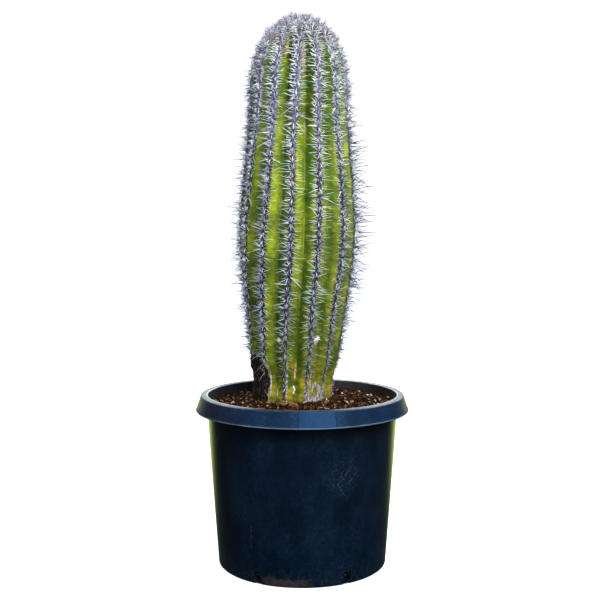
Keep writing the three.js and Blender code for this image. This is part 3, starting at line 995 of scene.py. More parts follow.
def high_share(place):
    """How far each areole is up the top third of the stem, where the spines are stouter and denser."""
    return smooth_step(place[:, 2], 0.56, 0.68)


def sunny_share(place):
    """1 well above the soil on the ribs that face the sun, where spines are longer, and 0 elsewhere."""
    return smooth_step(place[:, 0], 0.03, 0.065) * smooth_step(place[:, 2], 0.34, 0.42)


def sound_share(place):
    """1 on sound skin, and next to nothing on the dead patch."""
    x, y, z = place.T
    return 1 - 0.96 * dead_share(np.arctan2(x - stem_centre(z), -y), z)


def grown_share(place, least, low, high):
    """A share that goes up from the least below one height to 1 above another."""
    return (least + (1 - least) * smooth_step(place[:, 2], low, high))[:, None]


def radial_spines(settings, stem):
    """Thin spines over the flanks, to either side of each areole: fans at the foot, and a comb high up."""
    place, out, side, up = areoles(stem.areole_pitch)
    rng = np.random.default_rng(settings.seed + 1)
    middles = np.repeat([0, 180], len(RADIAL_ANGLES))
    size = (len(place), len(middles))
    fan = np.tile(RADIAL_ANGLES, 2) + rng.normal(0, 8, size=size)
    comb = 0.5 * (smooth_step(place[:, 2], 0.30, 0.42) + high_share(place))[:, None]
    turn = np.radians(middles + fan * (1 - 0.5 * comb))[..., None]
    along_crest = (np.sin(np.radians(middles + fan)) * COMB_SPAN * comb)[..., None]
    lift = np.radians(rng.uniform(2, 28, size=size))[..., None]
    flat = side[:, None] * np.cos(turn) + up[:, None] * np.sin(turn)
    directions = flat * np.cos(lift) + out[:, None] * np.sin(lift)
    roots = place[:, None] + flat * RADIAL_STEP + up[:, None] * along_crest - out[:, None] * RADIAL_DEPTH
    lengths = settings.radial_length * rng.uniform(0.45, 1.3, size=size)
    lengths = lengths * grown_share(place, 0.5, 0.25, 0.36) * (1 - 0.35 * crown_share(place)[:, None])
    lengths = lengths * (1 - 0.1 * high_share(place))[:, None]
    likely = (0.88 + 0.12 * high_share(place)) * sound_share(place)
    kept = rng.random(size) < grown_share(place, 0.10, 0.25, 0.33) * likely[:, None]
    roots, directions, lengths = roots[kept], directions[kept], lengths[kept]
    bows = rng.normal(0, 0.05, size=directions.shape) * lengths[:, None]
    radii = settings.radial_radius * rng.uniform(0.7, 1.25, size=len(lengths))
    radii = radii * (1 + 0.15 * high_share(roots))
    return needles(roots, directions, lengths, radii, bows, 3, STATIONS), rng


def central_spines(settings, stem):
    """Stout spines that point up and down along each crest and cover it."""
    place, out, side, up = areoles(stem.areole_pitch)
    rng = np.random.default_rng(settings.seed + 2)
    sideways, upwards, shares = np.array(CENTRAL_AIMS).T
    size = (len(place), len(shares))
    drift = rng.normal(0, 0.28, size=(2, *size))
    high = high_share(place)[:, None]
    wide = (1 + 0.35 * high) * grown_share(place, 0.5, 0.26, 0.36)
    sideways, upwards = ((sideways + drift[0]) * wide)[..., None], (upwards + drift[1])[..., None]
    directions = unit(out[:, None] + side[:, None] * sideways + up[:, None] * upwards)
    across = sideways * CENTRAL_ACROSS * (1 + 0.3 * high)[..., None]
    roots = place[:, None] + side[:, None] * across + up[:, None] * upwards * CENTRAL_SPAN
    lengths = settings.central_length * shares * rng.uniform(0.65, 1.25, size=size)
    lengths = lengths * grown_share(place, 0.6, 0.24, 0.34) * (1 + 0.25 * crown_share(place)[:, None])
    basic = grown_share(place, 0.25, 0.25, 0.32) - 0.2 * high
    share = np.where(np.arange(len(CENTRAL_AIMS)) < CENTRAL_BASIC, basic, high)
    kept = rng.random(size) < share * sound_share(place)[:, None]
    roots, directions, lengths = roots[kept], directions[kept], lengths[kept]
    bows = rng.normal(0, 0.04, size=directions.shape) * lengths[:, None] - np.outer(lengths, [0, 0, 0.04])
    radii = settings.central_radius * rng.uniform(0.6, 1.1, size=len(lengths))
    radii = radii * grown_share(roots, 0.7, 0.24, 0.34)[:, 0] * (1 + 0.2 * high_share(roots))
    return needles(roots, directions, lengths, radii, bows, 3, CENTRAL_STATIONS), rng


def outer_spines(settings, stem):
    """Spines that stand out from every areole and fringe the outline, more of them high up, and the tuft."""
    place, out, side, up = areoles(stem.areole_pitch)
    rng = np.random.default_rng(settings.seed + 4)
    high = high_share(place)
    count = OUTER_COUNT + settings.crowding
    size = (len(place), count)
    spread = (0.42 + 0.45 * high)[:, None, None]
    drift = rng.normal(0, 1, size=(*size, 2)) * spread
    directions = unit(out[:, None] + side[:, None] * drift[..., :1] + up[:, None] * (drift[..., 1:] + 0.05))
    along_crest = drift[..., 1:] * (OUTER_SPAN - 0.003 * high)[:, None, None]
    across = drift[..., :1] * OUTER_ACROSS
    roots = place[:, None] + side[:, None] * across + up[:, None] * along_crest
    lengths = settings.outer_length * rng.uniform(0.5, 1.4, size=size)
    lengths = lengths * grown_share(place, 0.45, 0.25, 0.36) * (1 - 0.28 * high)[:, None]
    lengths = lengths * (1 + 0.5 * sunny_share(place) * (1 - high))[:, None]
    share = np.where(np.arange(count) < OUTER_COUNT, grown_share(place, 0.25, 0.25, 0.33), high[:, None])
    kept = rng.random(size) < share * sound_share(place)[:, None]
    roots, directions, lengths = roots[kept], directions[kept], lengths[kept]
    tuft_roots, tuft_directions, tuft_lengths = crown_tuft(rng, settings.tuft)
    roots = np.concatenate([roots, tuft_roots])
    directions = np.concatenate([directions, tuft_directions])
    lengths = np.concatenate([lengths, tuft_lengths])
    bows = rng.normal(0, 0.05, size=directions.shape) * lengths[:, None]
    radii = settings.central_radius * rng.uniform(0.65, 1.05, size=len(lengths))
    radii = radii * (1 + 0.25 * np.maximum(sunny_share(roots), high_share(roots)))
    return needles(roots, directions, lengths, radii, bows, 3, STATIONS), rng


def long_spines(settings, stem):
    """Long thin spines that cross the valleys, and the thinner dry ones that hang over the dead patch."""
    place, out, side, up = areoles(stem.areole_pitch)
    rng = np.random.default_rng(settings.seed + 3)
    sunny = sunny_share(place)
    likely = settings.long_share * sound_share(place) * grown_share(place, 0.1, 0.27, 0.34)[:, 0]
    likely = likely * (1 + sunny)
    chosen = (rng.random(len(place)) < likely) & (place[:, 2] < 0.71)
    place, out, side, up, sunny = place[chosen], out[chosen], side[chosen], up[chosen], sunny[chosen]
    count = len(place)
    hand = np.where(rng.random(count) < 0.5, -1.0, 1.0)[:, None]
    outwards = rng.uniform(0.1, 1.2, size=(count, 1))
    upwards = rng.uniform(-0.9, 0.25, size=(count, 1)) - 0.5 * sunny[:, None]
    aims = out * outwards + side * hand + up * upwards
    roots = place + side * hand * 0.0012
    lengths = rng.uniform(*LONG_LENGTHS, size=count)

    dry_roots, dry_aims = [], []
    for azimuth, height, sideways, upward in DRY_SPINES:
        angle = math.radians(azimuth)
        dry_roots.append(on_stem(angle, crest_radius(height) * 0.97, height))
        dry_aims.append(around(angle, 0.55, upward) + around(angle + math.pi / 2, sideways, 0.0))
    roots = np.concatenate([roots, dry_roots])
    directions = unit(np.concatenate([aims, dry_aims]))
    lengths = np.concatenate([lengths, rng.uniform(*DRY_LENGTHS, size=len(dry_roots))])
    bows = rng.normal(0, 0.04, size=directions.shape) * lengths[:, None] - np.outer(lengths, [0, 0, 0.05])
    radii = settings.radial_radius * rng.uniform(1.0, 1.5, size=len(lengths))
    radii[count:] *= 0.7
    return needles(roots, directions, lengths, radii, bows, 4, LONG_STATIONS), rng


def crown_tuft(rng, count):
    """Young spines that stand up round the growing point, spread evenly by the golden angle."""
    index = np.arange(count)
    angle = index * math.pi * (3 - math.sqrt(5))
    away = TUFT_RADIUS * np.sqrt((index + 0.5) / count)
    roots = on_stem(angle, away, STEM_TIP - 0.0015 - 12 * away**2)
    aims = around(angle, away, 0.026) + rng.normal(0, 0.007, size=(count, 3))
    return roots, unit(aims), rng.uniform(*TUFT_LENGTHS, size=count)


def add_needles(name, built, material):
    """Adds spines as one piece, with a random tone for each of them."""
    (points, faces, along, size), rng = built
    tone = np.repeat(rng.random(len(points) // size), size)
    add_piece(name, points, faces, material, "cactus", {"along": along, "tone": tone})


class SAGUARO_OT_add_areoles(bpy.types.Operator):
    """Add the felt pads along the crests"""

    bl_idname = "saguaro.add_areoles"
    bl_label = "Add Areoles"
    bl_options = {"REGISTER", "UNDO"}

    def execute(self, context):
        settings, stem = context.scene.saguaro_spines, context.scene.saguaro_stem
        points, faces = areole_pads(settings, stem)
        add_piece("areole_pads", points, faces, felt_finish(settings), "cactus")
        return {"FINISHED"}


class SAGUARO_OT_add_spines(bpy.types.Operator):
    """Add the radial, central, outer and long spines and the tuft on the crown"""

    bl_idname = "saguaro.add_spines"
    bl_label = "Add Spines"
    bl_options = {"REGISTER", "UNDO"}

    def execute(self, context):
        settings, stem = context.scene.saguaro_spines, context.scene.saguaro_stem
        radial = spine_finish(
            "radial spine horn", settings, tuple(settings.radial_color), rgb(252, 253, 240), 0.05
        )
        central = spine_finish(
            "central spine horn", settings, tuple(settings.central_color), rgb(244, 242, 252), 0.26
        )
        # The outer spines' darker shaft, tip and share of dark spines are painted shade.
        outer = spine_finish(
            "outer spine horn", settings, tuple(settings.shaded_outer_color), rgb(132, 128, 150), 0.5, 0.4
        )
        add_needles("radial_spines", radial_spines(settings, stem), radial)
        add_needles("central_spines", central_spines(settings, stem), central)
        add_needles("outer_spines", outer_spines(settings, stem), outer)
        add_needles("long_spines", long_spines(settings, stem), radial)
        return {"FINISHED"}


# The pot

POT_SEGMENTS = 240
POT_RING_SPACING = 0.008
SHARP_ANGLE = math.radians(38)
SKIRT_FOOT = POT_HEIGHT - SKIRT_DROP
# Scratches on the wall, each from one (azimuth in degrees, height) to another.
SCRATCHES = [
    ((21.1, 0.1396), (30.5, 0.1633)), ((21.1, 0.1396), (25.9, 0.1237)), ((34.8, 0.1567), (29.6, 0.1435)),
    ((-33.2, 0.0801), (-33.9, 0.0494)),
]
# The patch of wall that is scuffed most: its direction from the front, and its height.
WORN_SPOT = (math.radians(25), 0.150)
# The two mould seams on the skirt, with the flat panel between them.
PANEL_EDGES = (math.radians(-2), math.radians(17.2))
PANEL_SOFTNESS = 0.004
# Directions of the mud on the foot, and of the middle of the part of the rim where its painted
#  highlight, painted reflection and wear are faintest.
SMEAR_TURN = -0.17
FAINT_RIM_TURN = -0.06
STROKE_SLOPES = (0.75, -0.9, 1.2)
STROKE_LENGTH, STROKE_WIDTH = 0.0055, 0.0007


def wall_radius(z):
    return FOOT_RADIUS + WALL_TAPER * z


def inner_radius(z):
    return wall_radius(z) - WALL_THICKNESS


def pot_outline():
    """From the middle of the underside, out over foot, wall, skirt and rim, to the middle of the floor."""
    under_ring = POT_HEIGHT - WALL_THICKNESS - 0.001
    foot = FOOT_RADIUS - 0.002
    return rounded([
        (0.0, FOOT_RECESS, 0),
        (foot - FOOT_WIDTH - 0.0015, FOOT_RECESS, 0.001),
        (foot - FOOT_WIDTH, 0.0, 0.0006),
        (foot, 0.0, 0.0008),
        (wall_radius(0.0018) + 0.0002, 0.0018, 0.0009),
        (wall_radius(under_ring), under_ring, 0.0008),
        (RIM_TOP_RADIUS - 0.0022, under_ring, 0.001),
        (RIM_RADIUS - 0.0043, SKIRT_FOOT + 0.004, 0.0015),
        (RIM_RADIUS - 0.003, SKIRT_FOOT, 0.0006),
        (RIM_RADIUS - 0.0008, SKIRT_FOOT - 0.0004, 0.0008),
        (RIM_RADIUS + 0.0001, SKIRT_FOOT + 0.0009, 0.0009),
        (RIM_RADIUS - 0.0017, SKIRT_FOOT + 0.004, 0.0018),
        (RIM_TOP_RADIUS, POT_HEIGHT - 0.0014, 0.0012),
        (RIM_TOP_RADIUS - 0.0014, POT_HEIGHT, 0.0011),
        (MOUTH_RADIUS, POT_HEIGHT, 0.0009),
        (MOUTH_RADIUS - 0.0005, POT_HEIGHT - 0.001, 0.0005),
        (inner_radius(POT_HEIGHT - 0.004), POT_HEIGHT - 0.004, 0.0015),
        (inner_radius(FOOT_RECESS + 0.006), FOOT_RECESS + 0.006, 0.002),
        (inner_radius(FOOT_RECESS) - 0.0025, FLOOR_TOP, 0.002),
        (0.0, FLOOR_TOP, 0),
    ])


def slot_cutter(index):
    """A bar with a round-cornered top that cuts one drain slot out of the corner of wall and floor."""
    half = SLOT_WIDTH / 2
    outline = [(-half, -0.001), (half, -0.001)]
    for middle, start in ((half - SLOT_CORNER, 0), (-half + SLOT_CORNER, math.pi / 2)):
        for turn in np.linspace(start, start + math.pi / 2, 6):
            rise = SLOT_HEIGHT - SLOT_CORNER + SLOT_CORNER * math.sin(turn)
            outline.append((middle + SLOT_CORNER * math.cos(turn), rise))
    front = wall_radius(SLOT_HEIGHT) + 0.002
    angle = (index + 0.5) * FULL_TURN / SLOT_COUNT
    towards = around(angle, 1.0, 0.0)
    across = around(angle + math.pi / 2, 1.0, 0.0)
    flat = np.array([across * x + [0, 0, z] for x, z in outline])
    count = len(outline)
    points = np.concatenate([flat + towards * front, flat + towards * (front - SLOT_DEPTH)])
    walls = [[k, k + count, (k + 1) % count + count, (k + 1) % count] for k in range(count)]
    return points, [*walls, list(range(count)), list(range(count, 2 * count))[::-1]]


def cut_slots(pot):
    """Cuts the drain slots out of the pot and keeps the result as its mesh."""
    points, faces = [], []
    for index in range(SLOT_COUNT):
        slot_points, slot_faces = slot_cutter(index)
        faces += shifted(slot_faces, len(points))
        points += slot_points.tolist()
    cutter = add_object("slot cutters", new_mesh("slot cutters", points, faces))
    cut = pot.modifiers.new("drain slots", "BOOLEAN")
    cut.operation = "DIFFERENCE"
    cut.solver = "EXACT"
    cut.object = cutter
    whole = len(pot.data.vertices)
    depsgraph = bpy.context.evaluated_depsgraph_get()
    result = bpy.data.meshes.new_from_object(pot.evaluated_get(depsgraph))
    pot.modifiers.remove(cut)
    bpy.data.objects.remove(cutter)
    if len(result.vertices) == whole:
        raise RuntimeError("the drain slots didn't cut the pot")
    pot.data = result
    result.set_sharp_from_angle(angle=SHARP_ANGLE)


def strokes(shader, azimuth, height, slope, length, width):
    """Short thin strokes at random places on the pot's wall, all at about one slope, in radians."""
    across = azimuth * FOOT_RADIUS
    along = across * math.cos(slope) + height * math.sin(slope)
    beside = height * math.cos(slope) - across * math.sin(slope)
    parts = {0: along * (1 / length), 1: beside * (1 / width), 2: slope}
    place = shader.node("ShaderNodeCombineXYZ", inputs=parts)
    marks = shader.node("ShaderNodeTexNoise", inputs={"Vector": place, "Scale": 1.0, "Detail": 1.0})
    return shader.ease(marks, 0.66, 0.74)


def near_line(shader, azimuth, height, line, width):
    """1 on a straight mark on the pot's wall, and 0 beside it."""
    (start_turn, start_height), (end_turn, end_height) = line
    radius = wall_radius((start_height + end_height) / 2)
    run = radius * math.radians(end_turn - start_turn)
    rise = end_height - start_height
    across = (azimuth - math.radians(start_turn)) * radius
    upward = height - start_height
    share = (across * run + upward * rise) / (run * run + rise * rise)
    share = shader.node("ShaderNodeClamp", inputs={0: share})
    side, over = across - share * run, upward - share * rise
    return shader.ease(shader.math("SQRT", side * side + over * over), width, 0.3 * width)


def plastic_with_painted_light(shader, settings, azimuth, height, outside, skirt, noises):
    """Plastic without wear: grey inside the pot and bluer at the foot, with painted shade on the left of the
    wall, under the skirt and on the skirt's left, and a painted sheen that makes the skirt lighter and
    bluer."""
    cloud, scuffs = noises
    # Painted shade: the wall darker on its left side.
    side = shader.ease(azimuth, -0.62, -0.95)
    plastic = shader.mix(side * 0.7, tuple(settings.plastic_color), rgb(9, 11, 15))
    plastic = shader.mix(shader.ease(height, 0.085, 0.02) * 0.5, plastic, rgb(4, 22, 36))
    # Painted shadow: a dark band on the wall under the skirt.
    plastic = shader.mix(shader.ease(height + 0.01 * cloud, 0.195, 0.212) * 0.85, plastic, rgb(15, 14, 16))
    color = shader.mix(outside, rgb(44, 43, 43), plastic)
    # Painted sheen: the skirt lighter and bluer than the wall.
    color = shader.mix(skirt, color, tuple(settings.sheen_color))
    # Painted shade: the skirt darker on its left.
    color = shader.mix(skirt * shader.ease(azimuth, -0.45, -0.9) * 0.6, color, rgb(30, 24, 40))
    color = shader.dim(shader.ease(cloud, 0.32, 0.68, 0.65, 1.4), color)
    return shader.dim(shader.ease(scuffs, 0.35, 0.65, 0.7, 1.35), color)


def panel_and_seams(shader, azimuth, skirt, color):
    """The colour with the skirt's flat panel and the two seams, and where those seams are."""
    left, right = PANEL_EDGES
    panel = shader.ease(azimuth, left - PANEL_SOFTNESS, left + PANEL_SOFTNESS)
    panel = panel * shader.ease(azimuth, right + PANEL_SOFTNESS, right - PANEL_SOFTNESS)
    color = shader.mix(panel * skirt * 0.5, color, rgb(24, 58, 94))
    seams = [shader.ease(abs(azimuth - edge), 0.008, 0.004) for edge in PANEL_EDGES]
    seam = (seams[0] + seams[1]) * skirt
    return shader.mix(seam * 0.8, color, rgb(8, 18, 30)), seam


def scratches_and_dust(shader, azimuth, height, noises):
    """How scratched the wall is, and how dusty: in its scratches, in specks and at its foot."""
    cloud, scuffs = noises
    scratch = 0.0
    for line in SCRATCHES:
        scratch = scratch + 0.7 * near_line(shader, azimuth, height, line, STROKE_WIDTH)
    turn, rise = WORN_SPOT
    aside, above = azimuth - turn, height - rise
    away = shader.math("SQRT", aside * aside * 0.017 + above * above)
    worn_spot = shader.ease(away + 0.03 * cloud, 0.055, 0.025)
    for slope in STROKE_SLOPES:
        stroke = strokes(shader, azimuth, height, slope, STROKE_LENGTH, STROKE_WIDTH)
        scratch = scratch + stroke * (1.3 * worn_spot + 0.26 * shader.ease(cloud, 0.45, 0.6))
    scratch = scratch * shader.ease(scuffs, 0.40, 0.58)
    speck = shader.ease(shader.cells(0.0034), 0.19, 0.10) * shader.ease(scuffs, 0.44, 0.60)
    foot_dust = shader.ease(height + 0.02 * cloud, 0.05, 0.006) * shader.ease(scuffs, 0.4, 0.75) * 0.14
    dust = scratch * 0.6 + speck * 0.5 * (0.5 + worn_spot) + foot_dust
    return scratch, shader.math("MINIMUM", dust, 1.0)


def dried_mud(shader, azimuth, height, scuffs):
    """1 where mud is smeared over the foot of the wall."""
    edge = shader.noise(0.012, 3, 0.6)
    smear = shader.ease(abs(azimuth - SMEAR_TURN) + 0.62 * edge, 0.68, 0.46)
    return smear * shader.ease(height + 0.016 * edge, 0.0225, 0.0185) * shader.ease(scuffs, 0.36, 0.50)


def rim_highlights_and_wear(shader, azimuth, height, radius, skirt, noises, color):
    """The colour with painted highlights along the skirt's foot and round the rim's inner edge, and a
    painted reflection with wear on the rim's flat top.
    """
    cloud, scuffs = noises
    # Painted highlight along the lip at the skirt's foot.
    lip = shader.ease(abs(height - (SKIRT_FOOT + 0.0006)), 0.0016, 0.0006) * skirt
    lip = lip * shader.ease(cloud + scuffs * 0.4, 0.35, 0.75)
    color = shader.mix(lip * 0.55, color, rgb(134, 156, 176))
    top = shader.ease(height, POT_HEIGHT - 0.0016, POT_HEIGHT - 0.0004)
    off_front = abs(azimuth - FAINT_RIM_TURN)
    # Painted reflection on the rim's flat top, partly wear, strongest away from the front.
    rim_top_sheen_and_wear = top * shader.ease(scuffs, 0.2, 0.6) * (0.08 + 0.77 * shader.ease(off_front, 0.28, 0.9))
    color = shader.mix(rim_top_sheen_and_wear, color, rgb(168, 172, 168))
    # Painted highlight round the rim's inner edge.
    inner_edge = shader.ease(abs(radius - MOUTH_RADIUS - 0.0006), 0.0012, 0.0005) * top
    inner_edge = inner_edge * shader.ease(off_front, 0.28, 0.42, 0.2, 1.0)
    return shader.mix(inner_edge * shader.ease(scuffs, 0.2, 0.45) * 0.95, color, rgb(228, 228, 226))


def pot_finish(settings):
    """Moulded plastic with painted shade and a painted sheen, scuffs, dust, dried mud, and painted
    highlights and wear on the rim.
    """
    shader = new_shader("pot plastic")
    x, y, height = shader.axes()
    azimuth = shader.math("ARCTAN2", x, 0 - y)
    radius = shader.math("SQRT", x * x + y * y)
    cloud = shader.noise(0.045, 4, 0.6, stretch=(1, 1, 0.55))
    scuffs = shader.noise(0.004, 5, 0.75)
    noises = (cloud, scuffs)
    outside = shader.ease(radius - WALL_TAPER * height, FOOT_RADIUS - 0.0018, FOOT_RADIUS - 0.0008)
    skirt = shader.ease(height, SKIRT_FOOT - 0.002, SKIRT_FOOT) * shader.ease(radius, 0.1375, 0.1395)
    color = plastic_with_painted_light(shader, settings, azimuth, height, outside, skirt, noises)
    color, seam = panel_and_seams(shader, azimuth, skirt, color)
    scratch, dust = scratches_and_dust(shader, azimuth, height, noises)
    color = shader.mix(dust, color, tuple(settings.scuff_color))
    mud = dried_mud(shader, azimuth, height, scuffs)
    color = shader.mix(mud * 0.62, color, rgb(80, 62, 52))
    color = rim_highlights_and_wear(shader, azimuth, height, radius, skirt, noises, color)

    roughness = settings.roughness + 0.12 * cloud + 0.3 * dust + 0.3 * mud + 0.14 * skirt
    pebbles = shader.bump(shader.noise(0.0012, 3, 0.6), 0.00005)
    waves = shader.bump(cloud - 0.25 * seam - 0.2 * scratch, 0.0006, pebbles)
    return shader.surface({
        "Base Color": color, "Roughness": roughness, "Normal": waves, "Specular IOR Level": 0.45,
        "Specular Tint": (0.44, 0.69, 1.0),
    })


class SAGUARO_OT_add_pot(bpy.types.Operator):
    """Add the nursery pot with its skirted rim and drain slots"""

    bl_idname = "saguaro.add_pot"
    bl_label = "Add Pot"
    bl_options = {"REGISTER", "UNDO"}

    def execute(self, context):
        outline = dense(pot_outline(), POT_RING_SPACING)
        angle = np.arange(POT_SEGMENTS) * FULL_TURN / POT_SEGMENTS
        rings = around(angle[None, :], outline[1:-1, :1], outline[1:-1, 1:])
        points, faces = closed_skin(rings, [0, 0, outline[0][1]], [0, 0, outline[-1][1]])
        finish = pot_finish(context.scene.saguaro_pot)
        pot = add_piece("pot_shell", points, faces, finish, "pot")
        cut_slots(pot)
        return {"FINISHED"}


# The potting mix

MIX_COLUMNS = 400
# What the photograph shows lying on the mix, as x and y.
FOUND_PERLITE = [(0.0583, 0.0466), (0.0802, 0.0731), (0.0847, 0.0731), (0.0621, -0.0351),
                 (-0.0952, -0.0195), (-0.0826, -0.0195), (0.1218, 0.0046), (0.1057, -0.0195)]
FOUND_CHIPS = [(-0.015, -0.062), (-0.009, -0.064), (-0.031, -0.058), (-0.025, -0.061), (-0.011, -0.070)]
FOUND_CHIP_TONE = 0.88
FOUND_TWIGS = [((0.064, 0.100), (0.0713, 0.0731)), ((0.0583, -0.0255), (0.066, -0.0504)),
               ((0.0925, 0.0128), (0.0973, -0.0195))]
TWIG_STATIONS = (0, 0.25, 0.5, 0.75, 1)
# Least and greatest sizes of the loose things: length, width and thickness.
PERLITE_SIZES = ((0.0022, 0.0022, 0.0018), (0.0046, 0.0040, 0.0032))
CHIP_SIZES = ((0.004, 0.0025, 0.0012), (0.011, 0.006, 0.0028))
FOUND_CHIP_SIZES = ((0.0085, 0.0050, 0.0045), (0.0125, 0.0075, 0.0070))
CRUMB_SIZES = (0.0005, 0.0021)
TWIG_LENGTHS, TWIG_RADII = (0.008, 0.022), (0.0004, 0.0009)
# How far their middles are above the mix, the found chips being higher still, and how far they tilt.
PERLITE_LIFT, CHIP_LIFT, TWIG_LIFT = 0.0006, 0.0004, 0.001
FOUND_CHIP_LIFT = 0.0012
PERLITE_TILT, CHIP_TILT, FOUND_CHIP_TILT = 0.8, 0.4, 0.3
# Points from which the hull of one chip is made.
CHIP_POINTS = 15
STEM_GAP, WALL_GAP = 0.002, 0.003
# Heights of the rings of the hole that the stem stands in, from the soil line down.
HOLE_HEIGHTS = (0.221, 0.212, 0.204, 0.198)


def inside_wall(z):
    return inner_radius(z) - CLEARANCE


def stem_edge(angle, z):
    """How far the pot's axis is from the outside of the stem in each direction, at one height."""
    around_stem = np.linspace(-math.pi, math.pi, 720)
    ribs = np.arange(-1, RIB_COUNT + 1)
    crests = np.array([float(crest_angle(rib, z)) for rib in ribs])
    rib = np.interp(around_stem % FULL_TURN, crests, ribs)
    flank = np.abs(2 * (rib - np.round(rib)))
    radius = float(crest_radius(z)) * (1 - float(rib_depth(z)) * flank**FLANK_FULLNESS)
    skin = on_stem(around_stem, radius + STEM_CLEARANCE, np.full_like(around_stem, z))
    direction = np.arctan2(skin[:, 0], -skin[:, 1])
    order = np.argsort(direction)
    distance = np.hypot(skin[:, 0], skin[:, 1])[order]
    return np.interp(angle, direction[order], distance, period=FULL_TURN)


def mix_height(radius, angle, heap_height):
    """The surface of the mix: a low mound, banked up against the stem, with heaps and hollows."""
    towards_stem = np.clip((MOUND_FOOT - radius) / MOUND_RUN, 0, 1)
    ripple = np.sin(radius / 0.0061 + 3 * angle) * np.cos(7 * angle - radius / 0.009)
    ripple = ripple + np.sin(11 * angle) / 2
    flat = around(angle, radius, 0.0)
    heaps = lumps(flat, 0.016, 3) + 0.45 * lumps(flat + 1.0, 0.0042, 2)
    bank = MIX_BANK * np.exp(-(((radius - stem_edge(angle, SOIL_LINE)) / BANK_WIDTH) ** 2))
    mound = MIX_MOUND * towards_stem**MOUND_POWER
    return MIX_EDGE_HEIGHT + mound + MIX_RIPPLE * ripple + heap_height * heaps + bank


def mix_body(settings):
    """The mix from the pot's floor to its surface, with a hole where the stem stands."""
    angle = np.linspace(0, FULL_TURN, MIX_COLUMNS, endpoint=False)
    floor = FLOOR_TOP + CLEARANCE
    low = floor + 0.0035
    sides = np.linspace(low, MIX_EDGE_HEIGHT - 0.002, 11)
    rings = [around(angle, inside_wall(floor) - 0.0032, floor)]
    rings += [around(angle, inside_wall(z), z) for z in sides]
    outer, inner = inside_wall(MIX_EDGE_HEIGHT) - 0.0002, stem_edge(angle, SOIL_LINE - 0.001)
    for share in np.linspace(0, 1, 88):
        radius = outer + (inner - outer) * share
        rings.append(around(angle, radius, mix_height(radius, angle, settings.heap_height)))
    for z in HOLE_HEIGHTS:
        rings.append(around(angle, stem_edge(angle, z), z))
    rings.append(around(angle, 0.6 * stem_edge(angle, HOLE_HEIGHTS[-1]), ROOT_BOTTOM - 0.0015))
    bottom = [0, 0, floor]
    pocket = [float(stem_centre(ROOT_BOTTOM)), 0, ROOT_BOTTOM - 0.002]
    return closed_skin(np.array(rings), bottom, pocket)


def litter_places(rng, settings, count, found=(), lift=0.0):
    """Random places on the mix between stem and wall. The first ones are where the found things lie."""
    angle = rng.uniform(0, FULL_TURN, count)
    inner, outer = stem_edge(angle, SOIL_LINE) + STEM_GAP, inside_wall(MIX_EDGE_HEIGHT) - WALL_GAP
    radius = np.sqrt(rng.uniform(inner**2, outer**2))
    for index, (x, y) in enumerate(found[:count]):
        angle[index], radius[index] = math.atan2(x, -y), math.hypot(x, y)
    height = mix_height(radius, angle, settings.heap_height)
    return around(angle, radius, height + lift)


def mix_finish(settings):
    """Moist peat with dry crumbs and fine grit, dark further down, with pale roots at the drain slots."""
    shader = new_shader("potting mix")
    clod = shader.noise(0.010, 4, 0.65)
    crumb = shader.noise(0.0022, 4, 0.7)
    grit = shader.cells(0.0021)
    across, _, height = shader.axes()
    dry = tuple(settings.light_color)
    color = shader.mix(shader.ease(clod + 0.5 * crumb, 0.55, 0.95), tuple(settings.dark_color), dry)
    tint = shader.mix(shader.ease(across, -0.06, 0.06), rgb(120, 96, 52), rgb(134, 84, 60))
    color = shader.mix(shader.ease(crumb, 0.62, 0.70) * 0.5, color, tint)
    gritty = shader.ease(grit, 0.15, 0.07) * shader.ease(clod, 0.5, 0.6)
    color = shader.mix(gritty * 0.7, color, rgb(180, 160, 136))
    color = shader.mix(shader.ease(height, 0.20, 0.05) * 0.85, color, rgb(6, 5, 5))
    roots = shader.ease(height, 0.024, 0.019) * shader.ease(crumb, 0.56, 0.62)
    color = shader.mix(roots * 0.8, color, rgb(168, 140, 130))
    raised = shader.bump(crumb - 0.5 * grit, 0.0022, shader.bump(clod, 0.003))
    return shader.surface({
        "Base Color": color, "Roughness": shader.ease(clod, 0.3, 0.6, 0.78, 0.96), "Normal": raised,
        "Specular IOR Level": 0.08,
    })


def litter_finish(name, stops, grain_size, depth, stretch=(1, 1, 1)):
    """Small loose things, each with a colour that goes by its own tone, and with a fine grain."""
    shader = new_shader(name)
    grain = shader.noise(grain_size, 4, 0.65, stretch=stretch)
    color = shader.dim(0.6 + 0.8 * grain, shader.ramp(shader.attribute("tone"), *stops))
    return shader.surface({
        "Base Color": color, "Roughness": 0.88, "Specular IOR Level": 0.08,
        "Normal": shader.bump(grain, depth),
    })


def shard(rng, size):
    """The convex hull of points near the surface of a flat slab: one angular chip."""
    mesh = bmesh.new()
    for corner in rng.uniform(-1, 1, size=(CHIP_POINTS, 3)):
        corner[rng.integers(2)] = math.copysign(1, corner[rng.integers(2)])
        mesh.verts.new(corner * size / 2)
    hull = bmesh.ops.convex_hull(mesh, input=mesh.verts)
    bmesh.ops.delete(mesh, geom=list({*hull["geom_interior"], *hull["geom_unused"]}), context="VERTS")
    bmesh.ops.recalc_face_normals(mesh, faces=mesh.faces)
    mesh.verts.index_update()
    points = np.array([vert.co for vert in mesh.verts])
    faces = [[vert.index for vert in face.verts] for face in mesh.faces]
    mesh.free()
    return points, faces


def resting_turn(rng, tilt):
    """A random turn about the vertical with a small tilt."""
    turn = Quaternion((1, 0, 0), rng.uniform(-tilt, tilt)) @ Quaternion((0, 1, 0), rng.uniform(-tilt, tilt))
    return np.array((Quaternion((0, 0, 1), rng.uniform(0, FULL_TURN)) @ turn).to_matrix())


